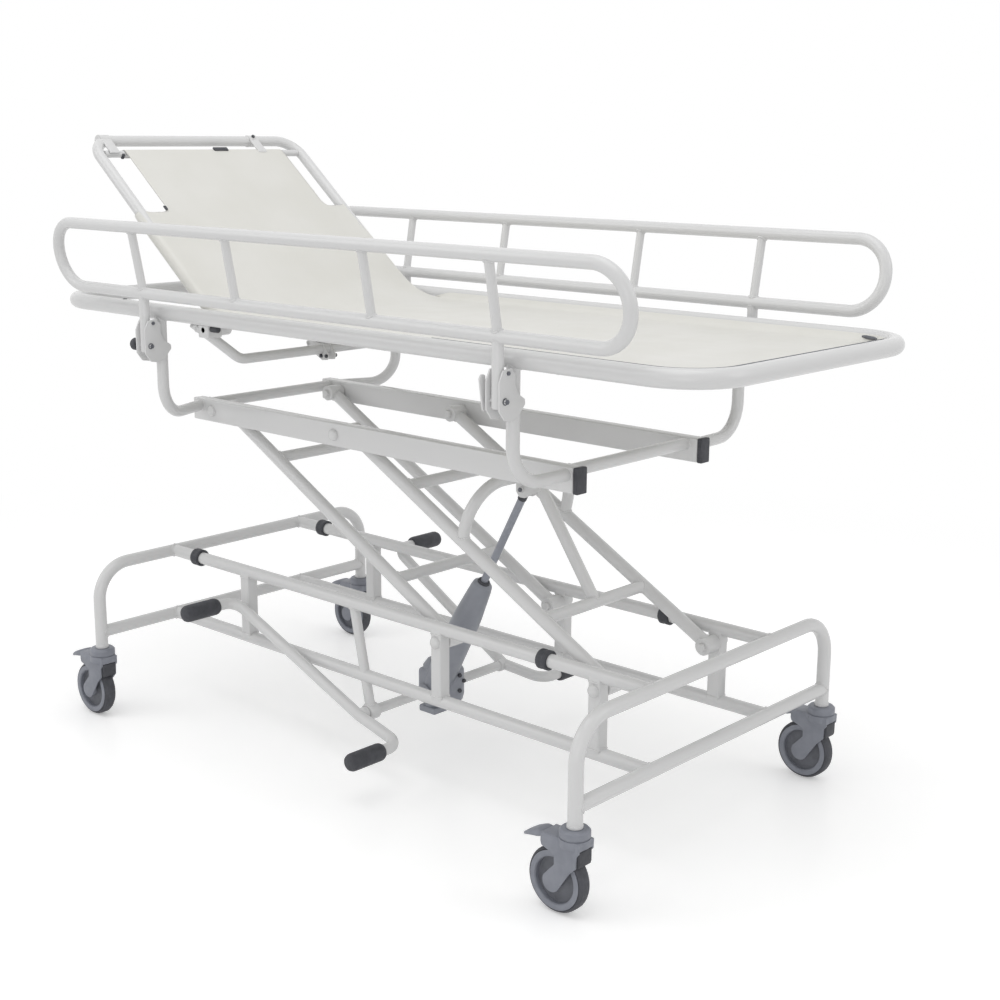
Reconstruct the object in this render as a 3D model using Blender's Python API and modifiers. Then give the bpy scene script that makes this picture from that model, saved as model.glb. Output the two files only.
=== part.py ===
# Shower trolley: a height-adjustable stretcher of welded white tube on four braked swivel castors.
# Metres, +Z up, +X towards the foot end, -Y the near side, origin on the floor under the middle.

import math

import bmesh
import bpy
from mathutils import Matrix, Vector

# Clearance between pieces that touch or turn in one another
FIT = 0.0003
WELD_DISTANCE = 0.000001

# Castors
WHEEL_DIAMETER = 0.125
WHEEL_WIDTH = 0.030
TYRE_DEPTH = 0.016
CASTOR_HEIGHT = 0.170
CASTOR_TRAIL = 0.034
STEM_DIAMETER = 0.016
STEM_LENGTH = 0.025
COLLAR_DIAMETER = 0.052
COLLAR_HEIGHT = 0.018
AXLE_DIAMETER = 0.012
CHEEK_THICKNESS = 0.004
CHEEK_GAP = 0.0025
CHEEK_WIDTH = 0.034
CROWN_HEIGHT = 0.018
CROWN_FRONT = 0.022
CROWN_REAR = 0.062
BRAKE_LENGTH = 0.054
BRAKE_WIDTH = 0.040
BRAKE_THICKNESS = 0.010
BRAKE_DROOP = math.radians(8)
BRAKE_PLATE = 0.008
BRAKE_ROUND = 0.0028
BRAKE_KNUCKLE = 0.026
CROWN_ROUND = 0.006
CHEEK_INSET = 0.006
HUB_BOSS = 0.034
RIM_WALL = 0.006
WEB_THICKNESS = 0.016
TYRE_EDGE = 0.005

# Base frame
BASE_TUBE = 0.028
LEG_SPACING = 1.440
BASE_WIDTH = 0.826
HOOP_HEIGHT = 0.365
HOOP_BEND = 0.080
LOWER_RAIL_HEIGHT = 0.208
RAIL_GAUGE = 0.394
POST_SIZE = 0.028
HEAD_POST_X = -0.437
BUFFER_DIAMETER = 0.040
BUFFER_LENGTH = 0.026
BUFFER_EDGE = 0.002
BUFFER_HEAD_X = -0.620
BUFFER_FOOT_X = 0.465

# Lift links
LINK_TUBE = 0.028
LINK_LENGTH = 0.816
LIFT_ANGLE = math.radians(28.8)
PIVOT_SPACING = 0.415
PIVOT_A_X = 0.180
PIVOT_DROP = 0.028
EYE_DIAMETER = 0.036
EYE_LENGTH = 0.042
EYE_GAP = 0.0005
CROSS_TUBE = 0.025
CROSS_SHARE = 0.235
BOLT_DIAMETER = 0.012
CAP_DIAMETER = 0.026
CAP_HEIGHT = 0.009
CAP_EDGE = 0.004
NUT_DIAMETER = 0.020
NUT_HEIGHT = 0.008

# Lever on the rear link frame, driven by the hydraulic rod
LEVER_SHARE = 0.54
LEVER_RISE = 0.115
LEVER_LEAN = 0.028
LEVER_BEND = 0.090
CLEVIS_REACH = 0.003
CLEVIS_DROP = 0.028
STRUT_REACH = 0.042
STRUT_DROP = 0.022
CLEVIS_PLATE = 0.006
CLEVIS_HEIGHT = 0.034
CLEVIS_PLAY = 0.0015
STUB_DIAMETER = 0.012
STUB_LENGTH = 0.005

# Hydraulic pump and its rod
PUMP_X = -0.030
SHAFT_HEIGHT = 0.130
SHAFT_DIAMETER = 0.022
PUMP_BASE = 0.052
CASTING_SIZE = 0.074
CASTING_RISE = 0.068
CASTING_ROUND = 0.012
PUMP_DIAMETER = 0.068
PUMP_LENGTH = 0.105
BARREL_DIAMETER = 0.058
BARREL_LENGTH = 0.170
NECK_DIAMETER = 0.028
NECK_LENGTH = 0.028
SHOULDER = 0.016
ROD_DIAMETER = 0.017
ROD_BORE_END = 0.070
ROD_INSERT = 0.067
ROD_EYE_DIAMETER = 0.020
ROD_EYE_WIDTH = 0.016

# Pedal rocker
PEDAL_TUBE = 0.022
ROCKER_OFFSET = 0.035
PUMP_PEDAL_REACH = 0.415
PUMP_PEDAL_RISE = 0.170
FAR_PEDAL_REACH = 0.360
FAR_PEDAL_RISE = 0.215
RELEASE_PEDAL_REACH = 0.123
RELEASE_PEDAL_DROP = 0.032
FAR_RELEASE_DROP = 0.008
PEDAL_WIDTH = 0.140
PEDAL_BEND = 0.034
SLEEVE_DIAMETER = 0.032
SLEEVE_LENGTH = 0.098
SLEEVE_END = 0.004
SLEEVE_EDGE = 0.003
HANGER_TUBE = 0.022
HANGER_TOP_OFFSET = -0.050
HANGER_SIDE = "near"
HANGER_EYE_DIAMETER = 0.036
HANGER_EYE_LENGTH = 0.028

# Lift platform
BEAM_HEIGHT = 0.050
BEAM_THICKNESS = 0.028
BEAM_HEAD_OVERHANG = 0.067
BEAM_FOOT_OVERHANG = 0.655
BEAM_CAP = 0.012
BEAM_CAP_ROUND = 0.0024
HEAD_CROSS_INSET = 0.027
FOOT_CROSS_INSET = 0.030
PLATFORM_CROSS_DROP = 0.014
PIVOT_A_TO_BED_CENTRE = 0.535
ARM_TUBE = 0.025
ARM_X = 0.515
ARM_INSET_HEAD = 0.021
ARM_INSET_FOOT = 0.014
ARM_OFFSET = 0.003
ARM_RISE = 0.010
ARM_BEND = 0.070
ARM_TOP_DROP = 0.007

# Bed frame and lying sheet
BED_TUBE = 0.035
BED_LENGTH = 1.830
BED_WIDTH = 0.704
BED_BEND = 0.110
BED_RISE = 0.2394
BED_CROSS_TUBE = 0.022
BED_CROSS_DROP = 0.022
MIDDLE_CROSS_X = 0.030
FOOT_CROSS_X = 0.560
SHEET_THICKNESS = 0.004
SHEET_DROP = 0.006
SHEET_FOOT_GAP = 0.008
SHEET_HEAD_GAP = 0.030
SHEET_CORNER = 0.135

# Backrest
BACKREST_TUBE = 0.025
BACKREST_WIDTH = 0.600
BACKREST_LENGTH = 0.605
BACKREST_ANGLE = math.radians(39.8)
BACKREST_BEND = 0.055
HINGE_FROM_HEAD = 0.545
HINGE_DROP = 0.0275
HINGE_PIN = 0.012
HINGE_BOSS = 0.030
HINGE_BOSS_LENGTH = 0.028
LUG_SIZE = 0.034
HEM_BAR = 0.016
HEM_BAR_INSET = 0.045
BACK_SHEET_START = 0.060
BACK_SHEET_SLOT = 0.370
BACK_SHEET_WIDTH = 0.620
BACK_SHEET_NECK = 0.470
BACK_BAR = 0.022
BACK_BAR_AT = 0.280

# Bail under the bed and the gas spring that it carries
BAIL_TUBE = 0.022
BAIL_SEAT_DROP = 0.016
BAIL_SEAT_IN = 0.003
BAIL_SEAT_BACK = 0.036
BAIL_DROP = 0.074
BAIL_BACK = 0.012
BAIL_INSET = 0.055
BAIL_BEND = 0.040
LUG_REACH = 0.014
LUG_DROP = 0.016
GAS_FOOT_BACK = 0.042
GAS_FOOT_RISE = 0.010
GAS_TIP_DROP = 0.040
GAS_PLATE_WIDTH = 0.018
GAS_EYE = 0.022
GAS_EYE_WIDTH = 0.014
GAS_CYLINDER = 0.024
GAS_CYLINDER_LENGTH = 0.165
GAS_ROD = 0.010
GAS_ROD_INSERT = 0.080
GAS_BORE = 0.135
GAS_PIN = 0.010
GAS_TONGUE = 0.0165

# Side rails, their brackets and latch knobs
RAIL_TUBE = 0.025
RAIL_BAR = 0.018
RAIL_LEG = 0.022
RAIL_LENGTH = 1.645
RAIL_HEIGHT = 0.1415
RAIL_SPLAY = 0.026
RAIL_OFFSET = 0.044
RAIL_RISE = 0.043
RAIL_BAR_X = 0.200
RAIL_PIVOT_DROP = 0.0695
RAIL_LEG_TAIL = 0.015
RAIL_PIN = 0.010
BRACKET_PLATE = 0.004
BRACKET_WEB = 0.006
BRACKET_PLAY = 0.001
BRACKET_TOP = 0.050
BRACKET_BOTTOM = 0.028
BRACKET_LIP = 0.014
KNOB_DIAMETER = 0.027
KNOB_LENGTH = 0.027
KNOB_EDGE = 0.006
KNOB_NECK = 0.018
KNOB_NECK_LENGTH = 0.007
KNOB_PIN_LENGTH = 0.016

# Facets
TUBE_SIDES = 10
TURN_SIDES = 16
BEND_STEP = math.radians(20)
CHEEK_STEPS = 6
SMOOTH_ANGLE = math.radians(40)

# Places that follow from the sizes above
LEG_X = LEG_SPACING / 2
LEG_Y = BASE_WIDTH / 2
RAIL_Y = RAIL_GAUGE / 2
PIVOT_Z = HOOP_HEIGHT - PIVOT_DROP
PIVOT_A = Vector((PIVOT_A_X, 0, PIVOT_Z))
PIVOT_B = PIVOT_A + Vector((PIVOT_SPACING, 0, 0))
LINK_VECTOR = LINK_LENGTH * Vector((-math.cos(LIFT_ANGLE), 0, math.sin(LIFT_ANGLE)))
UPPER_A = PIVOT_A + LINK_VECTOR
UPPER_B = PIVOT_B + LINK_VECTOR
BEAM_HEAD = UPPER_A.x - BEAM_HEAD_OVERHANG
BEAM_FOOT = UPPER_B.x + BEAM_FOOT_OVERHANG
BED_X = UPPER_A.x + PIVOT_A_TO_BED_CENTRE
BED_Z = UPPER_A.z + BED_RISE
BED_Y = BED_WIDTH / 2
BEAM_INNER = RAIL_Y - BEAM_THICKNESS / 2
EYE_OUTER = BEAM_INNER - EYE_GAP
LINK_Y = EYE_OUTER - EYE_LENGTH / 2
LEVER_FOOT = PIVOT_B + LINK_VECTOR * LEVER_SHARE
LEVER_TOP = LEVER_FOOT + Vector((LEVER_LEAN, 0, LEVER_RISE))
CLEVIS = LEVER_TOP + Vector((CLEVIS_REACH, 0, -CLEVIS_DROP))
SHAFT = Vector((PUMP_X, 0, SHAFT_HEIGHT))
ROCKER_Y = RAIL_Y + ROCKER_OFFSET
HINGE = Vector((BED_X - BED_LENGTH / 2 + HINGE_FROM_HEAD, 0, BED_Z - HINGE_DROP))
BACK_DIRECTION = Vector((-math.cos(BACKREST_ANGLE), 0, math.sin(BACKREST_ANGLE)))
BACK_NORMAL = Vector((math.sin(BACKREST_ANGLE), 0, math.cos(BACKREST_ANGLE)))
BACK_Y = BACKREST_WIDTH / 2
BAIL = HINGE - Vector((BAIL_BACK, 0, BAIL_DROP))
GAS_FOOT = BAIL + Vector((-GAS_FOOT_BACK, 0, GAS_FOOT_RISE))
GAS_TIP = HINGE + BACK_DIRECTION * BACK_BAR_AT - BACK_NORMAL * GAS_TIP_DROP
GAS_CHEEK_Y = GAS_EYE_WIDTH / 2 + CLEVIS_PLAY + BRACKET_PLATE / 2
ARM_Y = BED_Y + ARM_OFFSET
SIDE_RAIL_Y = BED_Y + RAIL_OFFSET
RAIL_BOTTOM = BED_Z + RAIL_RISE
RAIL_PIVOT_Z = BED_Z - RAIL_PIVOT_DROP
SIDES = (("near", -1), ("far", 1))
ENDS = (("head", -1), ("foot", 1))

for old in list(bpy.data.objects):
    bpy.data.objects.remove(old)

scene = bpy.context.scene
parts = bpy.data.collections.new("shower_trolley")
cutters = bpy.data.collections.new("cutters")
scene.collection.children.link(parts)
scene.collection.children.link(cutters)


def material(name, colour, roughness, metallic=0.0):
    made = bpy.data.materials.new(name)
    made.use_nodes = True
    shader = made.node_tree.nodes["Principled BSDF"]
    shader.inputs["Base Color"].default_value = (*colour, 1.0)
    shader.inputs["Roughness"].default_value = roughness
    shader.inputs["Metallic"].default_value = metallic
    made.diffuse_color = (*colour, 1.0)
    return made


WHITE_PAINT = material("white_powder_coat", (0.76, 0.76, 0.75), 0.35)
SHEET_CLOTH = material("coated_sheet", (0.72, 0.71, 0.68), 0.45)
GREY_PLASTIC = material("grey_plastic", (0.22, 0.23, 0.26), 0.45)
GREY_PAINT = material("grey_pump_paint", (0.20, 0.22, 0.26), 0.40)
BLACK_RUBBER = material("black_rubber", (0.03, 0.03, 0.033), 0.75)
DARK_TYRE = material("dark_tyre", (0.07, 0.07, 0.08), 0.65)
BRIGHT_STEEL = material("bright_steel", (0.60, 0.61, 0.62), 0.30, 1.0)


# Shape helpers. Working pieces stay at the world origin until placed() names them.

def scratch(mesh):
    piece = bpy.data.objects.new("scratch", mesh)
    piece.hide_render = True
    piece.display_type = "WIRE"
    cutters.objects.link(piece)
    return piece


def from_bmesh(bm):
    bmesh.ops.remove_doubles(bm, verts=bm.verts, dist=WELD_DISTANCE)
    bmesh.ops.recalc_face_normals(bm, faces=bm.faces)
    mesh = bpy.data.meshes.new("scratch")
    bm.to_mesh(mesh)
    bm.free()
    return scratch(mesh)


def evaluated(piece):
    bpy.context.view_layer.update()
    graph = bpy.context.evaluated_depsgraph_get()
    return bpy.data.meshes.new_from_object(piece.evaluated_get(graph))


def baked(piece):
    bm = bmesh.new()
    bm.from_mesh(evaluated(piece))
    bpy.data.objects.remove(piece)
    return from_bmesh(bm)


def box(low, high):
    low, high = Vector(low), Vector(high)
    bm = bmesh.new()
    bmesh.ops.create_cube(bm, size=1.0)
    bmesh.ops.scale(bm, vec=high - low, verts=bm.verts)
    bmesh.ops.translate(bm, vec=(low + high) / 2, verts=bm.verts)
    return from_bmesh(bm)


def rod(start, end, diameter, sides=TUBE_SIDES):
    start, end = Vector(start), Vector(end)
    axis = end - start
    bm = bmesh.new()
    bmesh.ops.create_cone(bm, cap_ends=True, segments=sides, radius1=diameter / 2,
                          radius2=diameter / 2, depth=axis.length)
    turn = axis.to_track_quat("Z", "Y").to_matrix().to_4x4()
    bmesh.ops.transform(bm, matrix=Matrix.Translation((start + end) / 2) @ turn, verts=bm.verts)
    return from_bmesh(bm)


def across(x, z, y_from, y_to, diameter, sides=TUBE_SIDES):
    return rod((x, y_from, z), (x, y_to, z), diameter, sides)


def bore(x, z, y_from, y_to, pin):
    # A round hole for a pin: more sides than the pin, so that its flats stay clear of the pin's corners.
    return across(x, z, y_from, y_to, pin + 2 * FIT, TURN_SIDES)


def rounded(points, radius, closed=False):
    # The corner points of a bent tube, with each corner turned into an arc.
    corners = [Vector(p) for p in points]
    count = len(corners)
    path = []
    for i, corner in enumerate(corners):
        if not closed and i in (0, count - 1):
            path.append(corner)
            continue
        back = (corners[i - 1] - corner).normalized()
        ahead = (corners[(i + 1) % count] - corner).normalized()
        half = back.angle(ahead) / 2
        middle = (back + ahead).normalized()
        centre = corner + middle * (radius / math.sin(half))
        first = corner + back * (radius / math.tan(half)) - centre
        sweep = math.pi - 2 * half
        normal = back.cross(ahead).normalized()
        steps = max(2, round(sweep / BEND_STEP))
        path += [centre + Matrix.Rotation(-sweep * k / steps, 3, normal) @ first for k in range(steps + 1)]
    return path


def tube(points, diameter, closed=False):
    curve = bpy.data.curves.new("scratch", "CURVE")
    curve.dimensions = "3D"
    curve.bevel_depth = diameter / 2
    curve.bevel_resolution = (TUBE_SIDES - 4) // 2
    curve.use_fill_caps = not closed
    spline = curve.splines.new("POLY")
    spline.points.add(len(points) - 1)
    spline.use_cyclic_u = closed
    for point, place in zip(spline.points, points):
        point.co = (*place, 1.0)
    return baked(scratch(curve))


def turned(profile, place, axis, sides=TURN_SIDES, ring=False):
    # A lathe shape: radius and height pairs run down the outer side, about a line through place.
    mesh = bpy.data.meshes.new("scratch")
    edges = [(i, i + 1) for i in range(len(profile) - 1)]
    if ring:
        edges.append((len(profile) - 1, 0))
    mesh.from_pydata([(r, 0, z) for r, z in profile], edges, [])
    piece = scratch(mesh)
    screw = piece.modifiers.new("turn", "SCREW")
    screw.axis = "Z"
    screw.steps = screw.render_steps = sides
    screw.use_merge_vertices = True
    screw.merge_threshold = WELD_DISTANCE
    piece = baked(piece)
    turn = Vector(axis).to_track_quat("Z", "Y").to_matrix().to_4x4()
    piece.data.transform(Matrix.Translation(Vector(place)) @ turn)
    return piece


def outline(points, thickness, frame):
    # A flat outline cut from sheet, extruded by half its thickness to each side of the frame's XY plane.
    curve = bpy.data.curves.new("scratch", "CURVE")
    curve.dimensions = "2D"
    curve.fill_mode = "BOTH"
    curve.extrude = thickness / 2
    spline = curve.splines.new("POLY")
    spline.points.add(len(points) - 1)
    spline.use_cyclic_u = True
    for point, place in zip(spline.points, points):
        point.co = (place[0], place[1], 0.0, 1.0)
    piece = baked(scratch(curve))
    piece.data.transform(frame)
    return piece


def combined(target, others, operation):
    for other in others:
        step = target.modifiers.new("join", "BOOLEAN")
        step.operation = operation
        step.solver = "EXACT"
        step.object = other
    made = baked(target)
    for other in others:
        bpy.data.objects.remove(other)
    return made


def welded(pieces):
    return combined(pieces[0], pieces[1:], "UNION")


def cut(piece, tools):
    return combined(piece, tools, "DIFFERENCE")


def softened(piece, width, segments=2):
    step = piece.modifiers.new("round", "BEVEL")
    step.width = width
    step.segments = segments
    step.limit_method = "ANGLE"
    return baked(piece)


def placed(name, piece, finish, origin=(0, 0, 0), parent=None):
    origin = Vector(origin)
    mesh = piece.data
    mesh.transform(Matrix.Translation(-origin))
    mesh.name = name
    mesh.materials.clear()
    mesh.materials.append(finish)
    mesh.shade_smooth()
    mesh.set_sharp_from_angle(angle=SMOOTH_ANGLE)
    bpy.data.objects.remove(piece)
    made = bpy.data.objects.new(name, mesh)
    parts.objects.link(made)
    made.location = origin
    if parent:
        made.parent = parent
        made.location = origin - parent.location
    return made


def joint_axis(name, place):
    axis = bpy.data.objects.new(name, None)
    axis.location = place
    axis.empty_display_size = BASE_TUBE
    parts.objects.link(axis)
    return axis


# Base frame

def leg_places():
    return [(end, side, Vector((x * LEG_X, y * LEG_Y, CASTOR_HEIGHT)))
            for end, x in ENDS for side, y in SIDES]


def hoop_path(x):
    corners = [(x, -LEG_Y, CASTOR_HEIGHT), (x, -LEG_Y, HOOP_HEIGHT), (x, LEG_Y, HOOP_HEIGHT),
               (x, LEG_Y, CASTOR_HEIGHT)]
    return rounded(corners, HOOP_BEND)


def hoop_tubes(x, diameter):
    return [tube(hoop_path(x), diameter), across(x, LOWER_RAIL_HEIGHT, -LEG_Y, LEG_Y, diameter)]


def make_hoop(end, direction):
    x = direction * LEG_X
    hoop = welded(hoop_tubes(x, BASE_TUBE))
    socket_low, socket_high = CASTOR_HEIGHT - STEM_LENGTH, CASTOR_HEIGHT + STEM_LENGTH + FIT
    socket = STEM_DIAMETER + 2 * FIT
    sockets = [rod((x, y * LEG_Y, socket_low), (x, y * LEG_Y, socket_high), socket, TURN_SIDES)
               for _, y in SIDES]
    placed(f"base_{end}_hoop", cut(hoop, sockets), WHITE_PAINT)


def make_side_frame(side, direction):
    y = direction * RAIL_Y
    pieces = [rod((-LEG_X, y, z), (LEG_X, y, z), BASE_TUBE) for z in (HOOP_HEIGHT, LOWER_RAIL_HEIGHT)]
    half = POST_SIZE / 2
    for x in (HEAD_POST_X, PIVOT_A.x, PIVOT_B.x):
        pieces.append(box((x - half, y - half, LOWER_RAIL_HEIGHT), (x + half, y + half, HOOP_HEIGHT)))
    if side == HANGER_SIDE:
        # The pedal shaft's bearing hangs from the upper rail on a sloping tube.
        half_eye = HANGER_EYE_LENGTH / 2
        pieces.append(rod((SHAFT.x + HANGER_TOP_OFFSET, y, HOOP_HEIGHT), (SHAFT.x, y, SHAFT.z), HANGER_TUBE))
        pieces.append(across(SHAFT.x, SHAFT.z, y - half_eye, y + half_eye, HANGER_EYE_DIAMETER, TURN_SIDES))
    tools = [tool for x in (-LEG_X, LEG_X) for tool in hoop_tubes(x, BASE_TUBE + 2 * FIT)]
    beyond = LEG_X + BASE_TUBE
    tools += [box((x - BASE_TUBE, y - BASE_TUBE, LOWER_RAIL_HEIGHT - BASE_TUBE),
                  (x, y + BASE_TUBE, HOOP_HEIGHT + BASE_TUBE)) for x in (-LEG_X, beyond)]
    inner, outer = direction * (RAIL_Y - POST_SIZE), direction * (RAIL_Y + POST_SIZE)
    tools += [bore(x, PIVOT_Z, inner, outer, BOLT_DIAMETER) for x in (PIVOT_A.x, PIVOT_B.x)]
    tools.append(bore(SHAFT.x, SHAFT.z, inner, outer, SHAFT_DIAMETER))
    placed(f"base_side_{side}", cut(welded(pieces), tools), WHITE_PAINT)


def make_buffers():
    outer, inner, half = BUFFER_DIAMETER / 2, BASE_TUBE / 2 + FIT, BUFFER_LENGTH / 2
    flat, low = outer - BUFFER_EDGE, half - BUFFER_EDGE
    profile = [(inner, half), (flat, half), (outer, low), (outer, -low), (flat, -half), (inner, -half)]
    for side, y in SIDES:
        for end, x in (("head", BUFFER_HEAD_X), ("foot", BUFFER_FOOT_X)):
            ring = turned(profile, (x, y * RAIL_Y, HOOP_HEIGHT), (1, 0, 0), ring=True)
            placed(f"buffer_{side}_{end}", ring, BLACK_RUBBER)


def make_bolt(name, place, direction, outer_face):
    # A pivot bolt: domed cap outside, shank through both pieces, nut on the inner face of the eye.
    cap = outer_face + FIT
    inner_face = EYE_OUTER - EYE_LENGTH - FIT
    shank, dome = BOLT_DIAMETER / 2, CAP_DIAMETER / 2
    cap_top, nut, nut_end = cap + CAP_HEIGHT, NUT_DIAMETER / 2, inner_face - NUT_HEIGHT
    profile = [(0, cap_top), (dome - CAP_EDGE, cap_top), (dome, cap_top - CAP_EDGE), (dome, cap),
               (shank, cap), (shank, inner_face), (nut, inner_face), (nut, nut_end), (0, nut_end)]
    bolt = turned(profile, (place.x, 0, place.z), (0, direction, 0), TUBE_SIDES)
    placed(name, bolt, WHITE_PAINT, (place.x, direction * cap, place.z))


# Castors

def make_castor(end, side, leg):
    tag = f"{side}_{end}"
    swivel = joint_axis(f"swivel_axis_{tag}", leg)
    axle = leg + Vector((-CASTOR_TRAIL, 0, WHEEL_DIAMETER / 2 - CASTOR_HEIGHT))
    collar_top = leg.z - FIT
    crown_top = collar_top - COLLAR_HEIGHT
    crown_low = crown_top - CROWN_HEIGHT
    cheek_in = WHEEL_WIDTH / 2 + CHEEK_GAP
    cheek_out = cheek_in + CHEEK_THICKNESS
    overlap = CROWN_HEIGHT / 2
    crown = softened(box(leg + Vector((-CROWN_REAR, -cheek_out, crown_low - leg.z)),
                         leg + Vector((CROWN_FRONT, cheek_out, crown_top - leg.z))), CROWN_ROUND)
    pieces = [crown,
              rod((leg.x, leg.y, crown_top - overlap), (leg.x, leg.y, collar_top), COLLAR_DIAMETER,
                  TURN_SIDES),
              rod((leg.x, leg.y, collar_top - overlap), (leg.x, leg.y, leg.z + STEM_LENGTH), STEM_DIAMETER,
                  TURN_SIDES),
              across(axle.x, axle.z, leg.y - cheek_out, leg.y + cheek_out, AXLE_DIAMETER)]
    half = CHEEK_WIDTH / 2
    shape = [(CASTOR_TRAIL + CROWN_FRONT - CHEEK_INSET, crown_low + overlap - axle.z),
             (CASTOR_TRAIL - CROWN_REAR + CHEEK_INSET, crown_low + overlap - axle.z)]
    turns = [math.pi * (1 + k / CHEEK_STEPS) for k in range(CHEEK_STEPS + 1)]
    shape += [(half * math.cos(a), half * math.sin(a)) for a in turns]
    for y in (-1, 1):
        middle = leg.y + y * (cheek_in + CHEEK_THICKNESS / 2)
        frame = Matrix.Translation((axle.x, middle, axle.z)) @ Matrix.Rotation(math.pi / 2, 4, "X")
        pieces.append(outline(shape, CHEEK_THICKNESS, frame))
    placed(f"castor_fork_{tag}", welded(pieces), GREY_PLASTIC, leg, swivel)

    rim = WHEEL_DIAMETER / 2 - TYRE_DEPTH
    half_width, hole = WHEEL_WIDTH / 2, AXLE_DIAMETER / 2 + FIT
    boss, rim_in, web = HUB_BOSS / 2, rim - RIM_WALL, WEB_THICKNESS / 2
    hub = [(hole, half_width), (boss, half_width), (boss, web), (rim_in, web), (rim_in, half_width),
           (rim, half_width), (rim, -half_width), (rim_in, -half_width), (rim_in, -web), (boss, -web),
           (boss, -half_width), (hole, -half_width)]
    spin = joint_axis(f"roll_axis_{tag}", axle)
    placed(f"wheel_hub_{tag}", turned(hub, axle, (0, 1, 0), ring=True), GREY_PLASTIC, axle, spin)
    tread, inner = WHEEL_DIAMETER / 2, rim + FIT
    wall, flat = tread - TYRE_EDGE, half_width - TYRE_EDGE
    tyre = [(inner, half_width), (wall, half_width), (tread, flat), (tread, -flat), (wall, -half_width),
            (inner, -half_width)]
    placed(f"tyre_{tag}", turned(tyre, axle, (0, 1, 0), ring=True), DARK_TYRE, axle, spin)

    knuckle = BRAKE_THICKNESS / 2
    hinge = leg + Vector((-CROWN_REAR - FIT - knuckle, 0, (crown_top + crown_low) / 2 - leg.z))
    back = Vector((-math.cos(BRAKE_DROOP), 0, -math.sin(BRAKE_DROOP)))
    half_plate = Vector((0, BRAKE_WIDTH / 2, BRAKE_PLATE / 2))
    plate = softened(box(-half_plate, half_plate + Vector((BRAKE_LENGTH, 0, 0))), BRAKE_ROUND)
    turn = Matrix((back, (0, -1, 0), back.cross(Vector((0, -1, 0))))).transposed().to_4x4()
    plate.data.transform(Matrix.Translation(hinge) @ turn)
    half_bar = BRAKE_KNUCKLE / 2
    hinge_bar = across(hinge.x, hinge.z, leg.y - half_bar, leg.y + half_bar, BRAKE_THICKNESS)
    placed(f"brake_pedal_{tag}", welded([hinge_bar, plate]), GREY_PLASTIC, hinge)


# Lift links

def link_eyes_and_tubes(low, high):
    pieces = []
    for _, y in SIDES:
        pieces.append(rod((low.x, y * LINK_Y, low.z), (high.x, y * LINK_Y, high.z), LINK_TUBE))
        for end in (low, high):
            pieces.append(across(end.x, end.z, y * EYE_OUTER, y * (EYE_OUTER - EYE_LENGTH), EYE_DIAMETER,
                                 TURN_SIDES))
    for share in (CROSS_SHARE, 1 - CROSS_SHARE):
        spot = low.lerp(high, share)
        pieces.append(across(spot.x, spot.z, -LINK_Y, LINK_Y, CROSS_TUBE))
    return pieces


def eye_bores(low, high):
    return [bore(end.x, end.z, y * (EYE_OUTER + EYE_LENGTH), y * (EYE_OUTER - 2 * EYE_LENGTH), BOLT_DIAMETER)
            for end in (low, high) for _, y in SIDES]


def cheek_outline(ends, width):
    # A plate around two or more points: the hull of a disc at each.
    bm = bmesh.new()
    for spot in ends:
        for k in range(TUBE_SIDES):
            a = 2 * math.pi * k / TUBE_SIDES
            bm.verts.new((spot.x + width / 2 * math.cos(a), 0, spot.z + width / 2 * math.sin(a)))
    hull = bmesh.ops.convex_hull(bm, input=bm.verts)
    inside = [v for v in hull["geom_interior"] if isinstance(v, bmesh.types.BMVert)]
    bmesh.ops.delete(bm, geom=inside, context="VERTS")
    points = [v.co.copy() for v in bm.verts]
    bm.free()
    centre = sum(points, Vector()) / len(points)
    points.sort(key=lambda p: math.atan2(p.z - centre.z, p.x - centre.x))
    return [(p.x, p.z) for p in points]


def plate_across(ends, width, y, thickness):
    frame = Matrix.Translation((0, y, 0)) @ Matrix.Rotation(math.pi / 2, 4, "X")
    return outline(cheek_outline(ends, width), thickness, frame)


def make_links():
    axis_a = joint_axis("lift_axis_a", PIVOT_A)
    frame_a = cut(welded(link_eyes_and_tubes(PIVOT_A, UPPER_A)), eye_bores(PIVOT_A, UPPER_A))
    placed("link_frame_a", frame_a, WHITE_PAINT, PIVOT_A, axis_a)

    axis_b = joint_axis("lift_axis_b", PIVOT_B)
    pieces = link_eyes_and_tubes(PIVOT_B, UPPER_B)
    corners = [(LEVER_FOOT.x, -LINK_Y, LEVER_FOOT.z), (LEVER_TOP.x, -LINK_Y, LEVER_TOP.z),
               (LEVER_TOP.x, LINK_Y, LEVER_TOP.z), (LEVER_FOOT.x, LINK_Y, LEVER_FOOT.z)]
    pieces.append(tube(rounded(corners, LEVER_BEND), CROSS_TUBE))
    cross = PIVOT_B.lerp(UPPER_B, CROSS_SHARE)
    strut_top = LEVER_TOP + Vector((STRUT_REACH, 0, -STRUT_DROP))
    cheek_y = ROD_EYE_WIDTH / 2 + CLEVIS_PLAY + CLEVIS_PLATE / 2
    for y in (-1, 1):
        pieces.append(plate_across([LEVER_TOP, CLEVIS, strut_top], CLEVIS_HEIGHT, y * cheek_y, CLEVIS_PLATE))
        pieces.append(across(CLEVIS.x, CLEVIS.z, y * cheek_y, y * (cheek_y + CLEVIS_PLATE / 2 + STUB_LENGTH),
                             STUB_DIAMETER))
    pieces.append(rod(strut_top, cross, CROSS_TUBE))
    frame_b = cut(welded(pieces), eye_bores(PIVOT_B, UPPER_B))
    placed("link_frame_b", frame_b, WHITE_PAINT, PIVOT_B, axis_b)


# Hydraulics and pedals

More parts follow.
